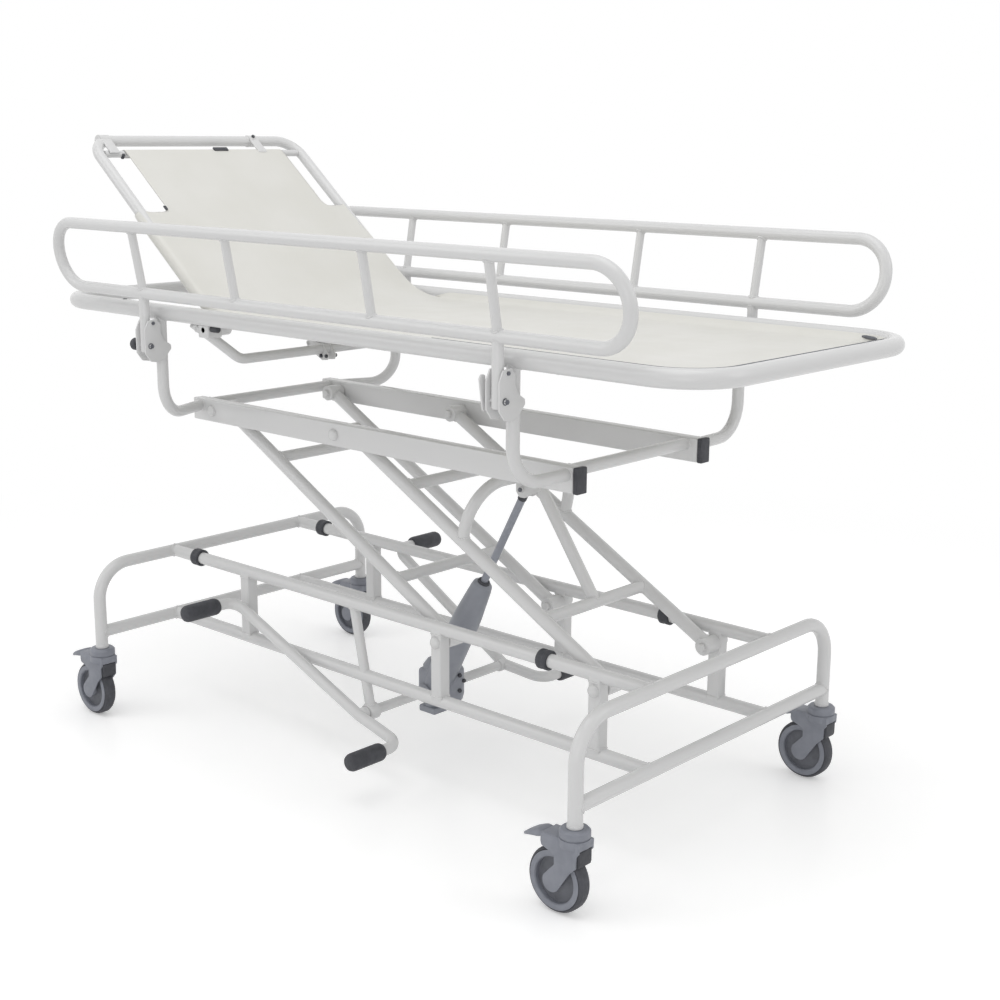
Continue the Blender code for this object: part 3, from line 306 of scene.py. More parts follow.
def block(bm, low, high, width, spot=None):
    part = bmesh.new()
    low, high = Vector(low), Vector(high)
    bmesh.ops.create_cube(part, size=1.0)
    bmesh.ops.scale(part, vec=high - low, verts=part.verts)
    bmesh.ops.translate(part, vec=(low + high) / 2, verts=part.verts)
    softEdges(part, width)
    if spot is not None:
        bmesh.ops.transform(part, matrix=spot, verts=part.verts)
    poured(bm, part)


def plate(bm, outline, thickness, spot, width=0.0008):
    # sheet metal cut to an outline in the spot's own XY plane
    part = bmesh.new()
    face = part.faces.new([part.verts.new((p[0], p[1], -thickness / 2)) for p in outline])
    grown = bmesh.ops.extrude_face_region(part, geom=[face])
    moved = [v for v in grown["geom"] if isinstance(v, bmesh.types.BMVert)]
    bmesh.ops.translate(part, vec=(0, 0, thickness), verts=moved)
    softEdges(part, width, 2)
    bmesh.ops.transform(part, matrix=spot, verts=part.verts)
    poured(bm, part)


def roundOutline(points, radius):
    return [(p.x, p.y) for p in bent([(x, y, 0) for x, y in points], radius, True, 15)]


def inXz(y):    # a plate's own XY plane becomes the trolley's XZ plane at that Y
    return Matrix.Translation((0, y, 0)) @ Matrix.Rotation(math.pi / 2, 4, "X")


def inYz(x):    # and here its YZ plane at that X
    return Matrix.Translation((x, 0, 0)) @ Matrix(((0, 0, 1, 0), (1, 0, 0, 0), (0, 1, 0, 0), (0, 0, 0, 1)))


lug = {"y": 0.0105, "thick": 0.004, "corner": 0.004}


def lugPair(bm, shape):    # two sheet-metal lugs, one each side of the middle
    for way in bothWays:
        plate(bm, roundOutline(shape, lug["corner"]), lug["thick"], inXz(way * lug["y"]))


def hexHead(bm, place, axis, across=0.010, height=0.005, washer=0.0):
    place, axis = Vector(place), Vector(axis).normalized()
    r, thick = across / 2, 0.0016
    if washer:
        disc(bm, washer / 2, thick, 0.0005, place, axis)
        place = place + axis * thick
    turned(bm, [(0, height), (r * 0.86, height), (r, height * 0.8), (r, 0), (0, 0)], place, axis, 6)


def addPiece(name, bm, finish, body, nodes=()):
    bmesh.ops.remove_doubles(bm, verts=bm.verts, dist=1e-6)
    bmesh.ops.recalc_face_normals(bm, faces=bm.faces)
    mesh = bpy.data.meshes.new(name)
    bm.to_mesh(mesh)
    bm.free()
    mesh.shade_smooth()
    mesh.set_sharp_from_angle(angle=math.radians(35))
    mesh.materials.append(finish)
    piece = linked(name, mesh)
    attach(piece, body)
    if nodes:
        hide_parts(*nodes)


# camera and light

view = {"place": (2.3203, -2.3868, 1.3532), "azimuth": 42.0855, "elevation": 13.1989, "roll": 0.3843, "lens": 56.31}


def makeCamera():
    a, e, r = (math.radians(view[k]) for k in ("azimuth", "elevation", "roll"))
    back = Vector((math.sin(a) * math.cos(e), -math.cos(a) * math.cos(e), math.sin(e)))
    right = Vector((math.cos(a), math.sin(a), 0))
    right = right * math.cos(r) + back.cross(right) * math.sin(r)
    up = back.cross(right)
    data = bpy.data.cameras.new("photo_view")
    data.sensor_width, data.lens, data.clip_end = 36.0, view["lens"], 100.0
    scene.camera = linked("photo_view", data)
    scene.camera.matrix_world = Matrix.Translation(view["place"]) @ Matrix((right, up, back)).transposed().to_4x4()


studio = {"ambient": 0.60, "floorColour": "#f4f4f4", "floorLift": 0.28, "floorGloss": 0.05, "polish": 0.28,
          "floorSize": 30.0, "floorZ": -0.0005, "fadeStart": 1.5, "fadeEnd": 3.0,
          "lamps": (("overhead", (0.3, -0.6, 4.2), (0, 0, 0.6), 3.6, 48.0),
                    ("left", (-2.6, -3.2, 2.6), (0, 0, 0.5), 2.6, 22.0),
                    ("right", (3.6, 1.6, 2.4), (0, 0, 0.5), 2.4, 16.0),
                    ("front", (2.6, -3.4, 0.8), (0, 0, 0.2), 2.6, 20.0))}


def seenDirectly(tree):    # 1 where the camera, a reflection or glass looks at the surface
    path = addNode(tree, "LightPath")
    mirror = addNode(tree, "Math", {"operation": "MAXIMUM"},
                     {0: path.outputs["Is Glossy Ray"], 1: path.outputs["Is Transmission Ray"]})
    return addNode(tree, "Math", {"operation": "MAXIMUM"}, {0: path.outputs["Is Camera Ray"], 1: mirror.outputs[0]})


def glow(tree, kind, strength):
    return addNode(tree, kind, {"Color": (1, 1, 1, 1), "Strength": strength})


def mixed(tree, share, one, two):
    return addNode(tree, "MixShader", None, {0: share.outputs[0], 1: one.outputs[0], 2: two.outputs[0]})


def makeWorld():
    scene.world = bpy.data.worlds.new("studio_white")
    tree = emptyTree(scene.world)
    mix = mixed(tree, seenDirectly(tree), glow(tree, "Background", studio["ambient"]), glow(tree, "Background", 1.0))
    addNode(tree, "OutputWorld", None, {"Surface": mix.outputs[0]})


def makeFloor():
    # painted studio floor: matt white with a faint polish, which runs out into plain white away from the trolley
    made = bpy.data.materials.new("studio_floor_paint")
    tree = emptyTree(made)
    place = addNode(tree, "TexCoord").outputs["Object"]
    far = addNode(tree, "VectorMath", {"operation": "LENGTH"}, {0: place})
    fade = addNode(tree, "MapRange", {"interpolation_type": "SMOOTHSTEP", "From Min": studio["fadeStart"],
                                      "From Max": studio["fadeEnd"]}, {"Value": far.outputs["Value"]})
    matt = addNode(tree, "BsdfDiffuse", {"Color": linear(studio["floorColour"])})
    polish = addNode(tree, "BsdfGlossy", {"Color": (1, 1, 1, 1), "Roughness": studio["polish"]})
    coat = addNode(tree, "MixShader", {0: studio["floorGloss"]}, {1: matt.outputs[0], 2: polish.outputs[0]})
    lifted = addNode(tree, "AddShader", None,
                     {0: coat.outputs[0], 1: glow(tree, "Emission", studio["floorLift"]).outputs[0]})
    shown = mixed(tree, fade, lifted, glow(tree, "Emission", 1.0))
    mix = mixed(tree, seenDirectly(tree), coat, shown)
    addNode(tree, "OutputMaterial", None, {"Surface": mix.outputs[0]})
    half = studio["floorSize"] / 2
    mesh = bpy.data.meshes.new("studio_floor")
    mesh.from_pydata([(-half, -half, 0), (half, -half, 0), (half, half, 0), (-half, half, 0)], [], [(0, 1, 2, 3)])
    mesh.materials.append(made)
    floor = linked("studio_floor", mesh)
    floor.location.z = studio["floorZ"]


def makeLamps():
    for name, place, aim, size, power in studio["lamps"]:
        data = bpy.data.lights.new(name, "AREA")
        data.shape, data.size, data.energy = "DISK", size, power
        lamp = linked(name, data)
        lamp.location = place
        lamp.rotation_euler = (Vector(place) - Vector(aim)).to_track_quat("Z", "Y").to_euler()


makeCamera()
makeWorld()
makeFloor()
makeLamps()
print("camera and studio set")


# wheeled base

base = {"tube": 0.014, "legX": 0.72, "legY": 0.413, "legFoot": 0.170, "top": 0.365, "low": 0.208, "bend": 0.080,
        "rim": 0.0012, "railY": 0.197, "posts": (-0.437, 0.180, 0.595), "postHalf": 0.014, "postEase": 0.0025,
        "weldShare": 0.82, "bufferX": {"head": -0.620, "foot": 0.465}, "hangerTop": -0.080, "hangerTube": 0.011,
        "bearing": 0.018, "boltFace": 0.0143, "boltInner": 0.1402}
shaft = Vector((-0.030, 0, 0.130))
pivotA, pivotB = Vector((0.180, 0, 0.337)), Vector((0.595, 0, 0.337))
upperA, upperB = Vector((-0.535066, 0, 0.730111)), Vector((-0.120066, 0, 0.730111))


def makeHoop(end, way):
    bm = bmesh.new()
    x, y, r = way * base["legX"], base["legY"], base["tube"]
    foot, top, low = base["legFoot"], base["top"], base["low"]
    sweep(bm, bent([(x, -y, foot), (x, -y, top), (x, y, top), (x, y, foot)], base["bend"]), r)
    branch(bm, (x, -y, low), (x, y, low), r, (alongZ, alongZ), (r, r))
    inner, outer = r - 0.003, r + base["rim"]
    rim = eased([(inner, 0.006), (outer, 0.006), (outer, 0), (inner, 0)], 0.0006, True)
    for side in bothWays:      # pressed-in socket rim at the foot of each leg
        turned(bm, rim, (x, side * y, foot + 0.0004), alongZ, ring=True)
    addPiece(f"{end}_hoop_tubes", bm, powderCoat, "base", [f"base_{end}_hoop"])


def squareBead(bm, x, y, z, half):
    corners = [(x - half, y - half, z), (x + half, y - half, z), (x + half, y + half, z), (x - half, y + half, z)]
    bead(bm, bent(corners, 0.003, True, 20), weld["fine"])


def makeSideFrame(side, way):
    bm = bmesh.new()
    y, r, half, top, low = way * base["railY"], base["tube"], base["postHalf"], base["top"], base["low"]
    for z in (top, low):
        branch(bm, (-base["legX"], y, z), (base["legX"], y, z), r, (alongY, alongY), (r, r))
    for x in base["posts"]:
        block(bm, (x - half, y - half, low), (x + half, y + half, top), base["postEase"])
        squareBead(bm, x, y, low + r * base["weldShare"], half)
        squareBead(bm, x, y, top - r * base["weldShare"], half)
    if side == "near":      # sloping hanger with the pedal shaft's bearing
        foot = Vector((shaft.x, y, shaft.z))
        branch(bm, (base["hangerTop"], y, top), foot, base["hangerTube"], (alongX, alongY), (r, base["bearing"]))
        bush(bm, 0.0115, base["bearing"], 0.014, 0.0012, foot)
    addPiece(f"{side}_base_rails", bm, powderCoat, "base", [f"base_side_{side}"])
    buffer = mirrored([(r + 0.0002, 0.013)] + mm((17.8, 13), (20, 10.8), (20, 4), (19.3, 3)))
    for end in ends:
        bm = bmesh.new()
        turned(bm, eased(buffer, 0.0006, True), (base["bufferX"][end], y, top), alongX, ring=True)
        addPiece(f"{side}_{end}_buffer_ring", bm, mouldedRubber, "base", [f"buffer_{side}_{end}"])


def makePivotBolt(name, spot, way, body, node):
    bm = bmesh.new()
    dome = mm((0, 9.2), (4.5, 8.8), (8.5, 7.4), (11.2, 5.2), (12.8, 2.2), (13, 0), (6, 0), (6, -71.1), (6, -71.6))
    turned(bm, dome, (spot.x, way * (base["railY"] + base["boltFace"]), spot.z), (0, way, 0))
    inner = (spot.x, way * base["boltInner"], spot.z)
    turned(bm, mm((8.5, 0.6), (8.5, -1), (5.5, -1), (5.5, 0.6)), inner, (0, way, 0), ring=True)
    hexHead(bm, inner, (0, -way, 0), 0.019, 0.0076)
    addPiece(name, bm, powderCoat, body, [node])


for endName, endWay in ends.items():
    makeHoop(endName, endWay)
for sideName, sideWay in sides.items():
    makeSideFrame(sideName, sideWay)
    for letter, low, high in (("a", pivotA, upperA), ("b", pivotB, upperB)):
        for level, spot, body in (("lower", low, "base"), ("upper", high, "platform")):
            boltNode = f"{level}_bolt_{letter}_{sideName}"
            makePivotBolt(f"{sideName}_{level}_pivot_{letter}", spot, sideWay, body, boltNode)
print("base made")


# castors

castor = {"wheel": 0.0625, "width": 0.030, "trail": 0.034, "top": 0.1697, "headRadius": 0.0288, "stem": 0.0078,
          "cheekIn": 0.0175, "cheekOut": 0.0218, "axle": 0.0058, "axleHalf": 0.020, "shoeWidth": 0.0344,
          "rimOut": 0.0482, "rimIn": 0.0440, "flangeOut": 0.0558, "flangeIn": 0.0456, "boss": 0.016, "bore": 0.0063,
          "paddleX": -0.0673, "paddleZ": 0.1427, "paddlePin": 0.0048, "paddlePinHalf": 0.013}


def makeFork(tag, leg, axle):
    bm = bmesh.new()
    head, top = castor["headRadius"], castor["top"]
    # swivel head: a drum with a shadow groove between the bearing cup and the fork
    drum = [(0.008, top), (head - 0.004, top), (head, top - 0.004), (head, top - 0.0145),
            (head - 0.0022, top - 0.0150), (head - 0.0022, top - 0.0170), (head, top - 0.0175), (head, top - 0.032),
            (0.006, top - 0.034), (0.006, top - 0.004)]
    turned(bm, eased(drum, 0.0005), leg - alongZ * leg.z, alongZ, 48)
    straight(bm, (leg.x, leg.y, top - 0.012), (leg.x, leg.y, leg.z + 0.024), castor["stem"], 24)
    # moulded fork: two cheeks that sweep back from the swivel head to a round end over the axle
    turns = [math.radians(d) for d in range(150, 321, 10)]
    outline = [(-0.002 + 0.0195 * math.cos(a), -0.001 + 0.0195 * math.sin(a)) for a in turns]
    outline += mm((39.1, 26.4), (53.7, 41.1), (54.8, 63.5), (60, 70), (60.5, 89), (-27, 88.5), (-27.5, 70), (-25, 63),
                  (-10, 58), (4, 52), (4.4, 34.3))
    for way in bothWays:
        middle = leg.y + way * (castor["cheekIn"] + castor["cheekOut"]) / 2
        spot = Matrix.Translation((axle.x, 0, axle.z)) @ inXz(middle)
        plate(bm, outline, castor["cheekOut"] - castor["cheekIn"], spot, 0.0012)
    block(bm, (leg.x - 0.0605, leg.y - 0.0212, 0.1345), (leg.x + 0.0265, leg.y + 0.0212, 0.1520), 0.004)
    reach = alongY * castor["axleHalf"]
    straight(bm, axle - reach, axle + reach, castor["axle"], 24)
    addPiece(f"{tag}_castor_housing", bm, nylonGrey, f"castor_{tag}", [f"castor_fork_{tag}"])
    bm = bmesh.new()      # brake shoe between the cheeks, in front of the wheel
    shoe = mm((8, 113.5), (15, 104.5), (23.5, 103.5), (25.5, 110), (25.5, 134), (8, 140))
    plate(bm, shoe, castor["shoeWidth"], Matrix.Translation((leg.x, 0, 0)) @ inXz(leg.y), 0.0015)
    addPiece(f"{tag}_brake_shoe", bm, mouldedRubber, f"castor_{tag}")


def makeWheel(tag, axle):
    half, tread, boss = castor["width"] / 2, castor["wheel"], castor["boss"]
    out, inn, wide, narrow = (castor[k] for k in ("rimOut", "rimIn", "flangeOut", "flangeIn"))
    bm = bmesh.new()
    edge = half - 0.001
    rim = [(inn, edge), (out, edge), (out, -edge), (inn, -edge), (inn, -0.006), (inn, 0.006)]
    turned(bm, eased(rim, 0.0008, True), axle, alongY, 48, True)
    flange = eased([(narrow, 0.0004), (wide, 0.0002), (wide, -0.0016), (narrow - 0.0012, -0.0020)], 0.0005, True)
    for way in bothWays:      # rim flange over the side of the tyre
        turned(bm, flange, axle + alongY * way * half, (0, way, 0), 56, True)
    core = mirrored([(castor["bore"], half), (boss - 0.004, half), (boss, half - 0.004)])
    turned(bm, eased(core, 0.0008, True), axle, alongY, 40, True)
    addPiece(f"{tag}_wheel_rim", bm, nylonGrey, f"wheel_{tag}", [f"wheel_hub_{tag}"])
    bm = bmesh.new()
    # the dish's dark colour holds painted shade of the recess inside the rim
    dish = mirrored([(boss - 0.001, 0.0105), (0.026, 0.0070), (0.038, 0.0050), (inn + 0.001, 0.0060)])
    turned(bm, eased(dish, 0.0008, True), axle, alongY, 48, True)
    addPiece(f"{tag}_wheel_dish", bm, nylonDarkPaintedShade, f"wheel_{tag}")
    bm = bmesh.new()
    wall = wide + 0.0004
    flank = [(out + 0.0002, half - 0.0018), (wall, half - 0.0018), (wall + 0.0012, half - 0.0004),
             (tread - 0.0024, half - 0.0030), (tread - 0.0003, half - 0.0070)]
    tyre = flank + [(tread, 0)] + mirrored(flank)[len(flank):]
    turned(bm, eased(tyre, 0.0006, True), axle, alongY, 64, True)
    addPiece(f"{tag}_tread_ring", bm, treadRubber, f"wheel_{tag}", [f"tyre_{tag}"])


def squared(value):    # presses a circle towards a square
    return math.copysign(abs(value) ** 0.6, value)


def makePaddle(tag, leg):    # brake paddle: a drooping leaf
    bm = bmesh.new()
    pin = Vector((leg.x + castor["paddleX"], leg.y, castor["paddleZ"]))
    rows = ((5.6, 20.5, 1.2, -1.2), (4, 20.8, 4.2, -4.2), (0, 21, 6.2, -6.2), (-6, 21, 7.4, -8.5),
            (-14, 20.8, 4.8, -9.5), (-26, 19, -0.4, -12), (-36, 15.2, -6.6, -15.2), (-43, 10, -11.8, -17.6),
            (-47, 3.5, -15.2, -18.6))      # place, half width, top and bottom in millimetres
    loops = []
    for row in rows:
        x, wide, high, low = (v / 1000 for v in row)
        middle, half = pin + Vector((x, 0, (high + low) / 2)), (high - low) / 2
        loops.append([bm.verts.new(middle + Vector((0, wide * squared(math.cos(a)), half * squared(math.sin(a)))))
                      for a in turnsOf(24)])
    for one, two in zip(loops, loops[1:]):
        skin(bm, one, two)
    bm.faces.new(loops[0][::-1])
    bm.faces.new(loops[-1])
    reach = alongY * castor["paddlePinHalf"]
    straight(bm, pin - reach, pin + reach, castor["paddlePin"], 20)
    addPiece(f"{tag}_brake_paddle", bm, nylonGrey, f"brake_{tag}", [f"brake_pedal_{tag}"])


for endName, endWay in ends.items():
    for sideName, sideWay in sides.items():
        castorTag = f"{sideName}_{endName}"
        castorLeg = Vector((endWay * base["legX"], sideWay * base["legY"], base["legFoot"]))
        castorAxle = castorLeg + Vector((-castor["trail"], 0, castor["wheel"] - castorLeg.z))
        makeFork(castorTag, castorLeg, castorAxle)
        makeWheel(castorTag, castorAxle)
        makePaddle(castorTag, castorLeg)
print("castors made")


# lift links, lever, pump and pedals

lift = {"tube": 0.014, "cross": 0.0125, "y": 0.1615, "eyeOuter": 0.1825, "eyeInner": 0.1405, "eye": 0.018,
        "bore": 0.0063, "shares": (0.235, 0.765), "lever": 0.54, "leverTop": (0.028, 0, 0.115), "leverBend": 0.090,
        "strutTop": (0.042, 0, -0.022), "plateY": 0.0125, "plate": 0.006, "pin": 0.0062, "pinTall": 0.005,
        "pinY": 0.0155, "boltY": 0.0200}
clevis = Vector((0.239864, 0, 0.636280))


def makeLinkTubes(bm, low, high):
    way, tube, eye = (high - low).normalized(), lift["tube"], lift["eye"]
    middle, half = (lift["eyeOuter"] + lift["eyeInner"]) / 2, (lift["eyeOuter"] - lift["eyeInner"]) / 2
    for side in bothWays:
        rise = alongY * side * lift["y"]
        branch(bm, low + rise, high + rise, tube, (alongY, alongY), (eye, eye))
        for end in (low, high):
            bush(bm, lift["bore"], eye, half, 0.0012, end + alongY * side * middle)
    reach = alongY * lift["y"]
    for share in lift["shares"]:
        spot = low.lerp(high, share)
        branch(bm, spot - reach, spot + reach, lift["cross"], (way, way), (tube, tube))
    return way


def makeLinks():
    bm = bmesh.new()
    makeLinkTubes(bm, pivotA, upperA)
    addPiece("front_link_tubes", bm, powderCoat, "link_a", ["link_frame_a"])

    bm = bmesh.new()
    way, tube = makeLinkTubes(bm, pivotB, upperB), lift["cross"]
    foot = pivotB.lerp(upperB, lift["lever"])
    top = foot + Vector(lift["leverTop"])
    rise = alongY * lift["y"]
    sweep(bm, bent([foot - rise, top - rise, top + rise, foot + rise], lift["leverBend"]), tube)
    for side in bothWays:
        saddle(bm, foot + rise * side, way, top - foot, lift["tube"], tube)
    strutTop = top + Vector(lift["strutTop"])
    branch(bm, strutTop, pivotB.lerp(upperB, lift["shares"][0]), tube, (None, alongY), (0, tube))
    shape = offXz(top, (-14, 2), (4, 11)) + offXz(strutTop, (2, 15), (12, -2))
    shape += offXz(clevis, (18, -11), (7, -18), (-8, -18), (-17, -6))
    for side in bothWays:
        plate(bm, roundOutline(shape, 0.005), lift["plate"], inXz(side * lift["plateY"]), 0.0009)
        disc(bm, lift["pin"], lift["pinTall"], 0.0008, clevis + alongY * side * lift["pinY"], (0, side, 0))
    addPiece("rear_link_tubes", bm, powderCoat, "link_b", ["link_frame_b"])
    bm = bmesh.new()
    for side in bothWays:
        hexHead(bm, clevis + alongY * side * lift["boltY"], (0, side, 0), 0.010, 0.004)
    addPiece("clevis_bolt", bm, zincPlate, "link_b")


pump = {"valve": (0.034, 0.026, 0), "sideDisc": 0.0190, "sideY": 0.033, "rod": 0.0084, "rodStart": 0.268,
        "boot": 0.030, "screws": ((0.0575, 0.020, 0.170), (0.0570, 0.034, 0.154), (0.0575, 0.020, 0.134))}


def makePump():
    axis, reach = (clevis - shaft).normalized(), (clevis - shaft).length
    bm = bmesh.new()
    # bottle-shaped cover that leans with the rod
    barrel = mm((9, 316), (15, 316), (21.5, 311), (23.8, 298), (30, 230), (32, 190), (33, 110), (33.5, 30), (30, 0),
                (0, 0))
    turned(bm, eased(barrel, 0.004), shaft, axis, 56)
    # upright casting below it: the ram's foot, the valve block beside it and the reservoir behind
    foot = shaft - alongZ * shaft.z
    ram = mm((0, 203), (15, 203), (26.2, 188), (27, 140), (27.5, 106), (23.5, 86), (16, 79.5), (0, 79.5))
    turned(bm, eased(ram, 0.004), foot, alongZ, 48)
    valve = mm((0, 188), (18, 188), (23.5, 178), (24, 122), (20, 106), (0, 106))
    turned(bm, eased(valve, 0.004), foot + Vector(pump["valve"]), alongZ, 40)
    block(bm, (shaft.x - 0.026, -0.030, 0.100), (shaft.x + 0.036, 0.036, 0.182), 0.008)
    block(bm, (shaft.x - 0.024, -0.028, 0.0785), (shaft.x + 0.026, 0.028, 0.094), 0.004)
    for side in bothWays:
        disc(bm, pump["sideDisc"], 0.004, 0.0015, shaft + alongY * side * pump["sideY"], (0, side, 0), 32)
    addPiece("pump_casting", bm, pumpEnamel, "pump", ["pump_body"])
    bm = bmesh.new()      # seal round the rod, valve screws and the band round the ram's foot
    seal = mm((9, 321.5), (12.8, 321.5), (14.2, 315), (9, 315))
    turned(bm, eased(seal, 0.0008, True), shaft, axis, 32, True)
    for spot in pump["screws"]:
        hexHead(bm, foot + Vector(spot), (1, -0.25, 0), 0.010, 0.005)
    band = mm((26.8, 112.5), (28.2, 111), (28.2, 108.5), (26.5, 107.5))
    turned(bm, eased(band, 0.0005, True), foot, alongZ, 48, True)
    addPiece("pump_seals", bm, mouldedRubber, "pump")

    bm = bmesh.new()
    rodEnd = shaft + axis * (reach - pump["boot"])
    straight(bm, shaft + axis * pump["rodStart"], rodEnd, pump["rod"])
    turned(bm, eased(mirrored(mm((0, 7.8), (9.8, 7.8))), 0.0012), clevis, alongY, 32)
    addPiece("pump_rod", bm, groundRod, "piston", ["piston_rod"])
    bm = bmesh.new()
    boot = mm((0, 20), (8.6, 20), (9.8, 15), (9.8, 2), (8.6, 0), (0, 0))
    turned(bm, eased(boot, 0.001), rodEnd, axis, 28)
    addPiece("rod_end_boot", bm, mouldedRubber, "piston")


pedals = {"tube": 0.011, "lever": 0.0125, "planeY": 0.232, "outY": 0.372, "bend": 0.034, "collarY": 0.218,
          "release": {"near": (0.123, -0.032), "far": (0.123, -0.008)},
          "pump": {"near": (-0.415, 0.170), "far": (-0.360, 0.215)}, "sleeve": 0.0192, "sleeveLength": 0.088,
          "fit": 0.0003}


def makePedals():
    bm = bmesh.new()
    y, out, r = pedals["planeY"], pedals["outY"], pedals["tube"]
    straight(bm, shaft - alongY * y, shaft + alongY * y, r)
    collar = eased([(r - 0.001, 0.010), (r + 0.0035, 0.010), (r + 0.0035, -0.006), (r - 0.001, -0.006)], 0.0012, True)
    for side, way in sides.items():
        (px, pz), (qx, qz) = pedals["pump"][side], pedals["release"][side]
        corners = ((px, out, pz), (px, y, pz), (0, y, 0), (qx, y, qz), (qx, out, qz))
        path = bent([shaft + Vector((dx, way * dy, dz)) for dx, dy, dz in corners], pedals["bend"])
        sweep(bm, path, pedals["lever"])
        turned(bm, collar, shaft + alongY * way * pedals["collarY"], (0, way, 0), ring=True)
    addPiece("pedal_tubes", bm, powderCoat, "rocker", ["pedal_rocker"])
    s, n, hole = pedals["sleeve"], pedals["sleeveLength"], pedals["lever"] + pedals["fit"]
    grip = [(0, 0.0040), (s - 0.0075, 0.0038), (s - 0.0030, 0.0020), (s - 0.0006, -0.0030), (s, -0.0080),
            (s, -n + 0.008), (s - 0.0008, -n + 0.004), (s - 0.0030, -n), (hole, -n), (hole, -0.001), (0, -0.001)]
    for side, way in sides.items():
        for use in ("pump", "release"):
            bm = bmesh.new()
            dx, dz = pedals[use][side]
            turned(bm, grip, shaft + Vector((dx, way * (out + pedals["fit"]), dz)), (0, way, 0))
            addPiece(f"{side}_{use}_pedal_grip", bm, mouldedRubber, "rocker", [f"pedal_sleeve_{side}_{use}"])


makeLinks()
makePump()
makePedals()
print("lift, pump and pedals made")


# lift platform and bed

platform = {"beamY": 0.197, "half": 0.014, "head": -0.602066, "foot": 0.534934, "z": 0.730111, "tall": 0.025,
            "beamEase": 0.0032, "cross": (-0.575066, 0.504934), "crossZ": 0.741111, "tube": 0.0125, "armX": 0.515,
            "armY": 0.355, "armZ": 0.740111, "armBend": 0.070, "armRoot": {"head": -0.581066, "foot": 0.520934},
            "armSet": 0.007, "cap": 0.012, "capGap": 0.0003, "capProud": 0.0004, "screwX": 0.068}
bed = {"tube": 0.0175, "z": 0.969511, "halfLength": 0.915, "halfWidth": 0.352, "bend": 0.110, "cross": (0.030, 0.560),
       "crossTube": 0.0095, "crossDrop": 0.022, "crossBend": 0.020, "hingeHalf": 0.017, "hingeY": 0.3143,
       "pin": 0.0058, "pinY": 0.286, "stubY": 0.343, "bailSeat": (-0.406066, 0.349, 0.953511), "bailTube": 0.011,
       "bailHalf": 0.245, "bailBend": 0.040, "lugY": 0.0125, "bushX": 0.0285, "bushY": 0.341, "plugX": -0.652}
hinge = Vector((-0.370066, 0, 0.942011))
bail = Vector((-0.382066, 0, 0.868011))
gasFoot, gasTip = Vector((-0.424066, 0, 0.878011)), Vector((-0.610790, 0, 1.090511))


def ovalBead(bm, centre, wide, tall, thick):    # the weld round a tube that meets a flat face
    bead(bm, [centre + alongX * math.cos(a) * wide + alongZ * math.sin(a) * tall for a in turnsOf(40)], thick)


def makePlatform():
    bm = bmesh.new()
    z, y, half, tall, tube = (platform[k] for k in ("z", "beamY", "half", "tall", "tube"))
    for way in bothWays:
        block(bm, (platform["head"], way * y - half, z - tall), (platform["foot"], way * y + half, z + tall),
              platform["beamEase"])
        for end, toward in ends.items():
            x, armY, armZ = toward * platform["armX"], way * platform["armY"], platform["armZ"]
            corners = [(platform["armRoot"][end], way * y, armZ), (x, armY, armZ),
                       (x, armY, bed["z"] - platform["armSet"])]
            path = bent(corners, platform["armBend"])
            sweep(bm, path, tube)
            # oval weld where the arm leaves the beam, and the saddle weld under the bed tube
            lead = (path[1] - path[0]).normalized()
            slant = abs(lead.y)
            ovalBead(bm, path[0] + lead * (half / slant), tube / slant, tube, weld["bead"])
            saddle(bm, (x, way * bed["halfWidth"], bed["z"]), alongX, -alongZ, bed["tube"], tube)
    reach = alongY * (y - half)
    for x in platform["cross"]:
        spot = Vector((x, 0, platform["crossZ"]))
        straight(bm, spot - reach, spot + reach, tube)
        for way in bothWays:
            ovalBead(bm, spot + reach * way, tube, tube, weld["fine"])
    addPiece("lift_platform_tubes", bm, powderCoat, "platform", ["platform_frame"])
    x, wide, high = platform["foot"] + platform["capGap"], half + platform["capProud"], tall + platform["capProud"]
    for side, way in sides.items():
        bm = bmesh.new()
        block(bm, (x, way * y - wide, z - high), (x + platform["cap"], way * y + wide, z + high), 0.0026)
        addPiece(f"{side}_beam_end_cap", bm, mouldedRubber, "platform", [f"beam_cap_{side}"])
    bm = bmesh.new()
    for way in bothWays:
        hexHead(bm, (platform["head"] + platform["screwX"], way * (y + half), z), (0, way, 0), 0.009, 0.004, 0.013)
    addPiece("beam_screws", bm, zincPlate, "platform")


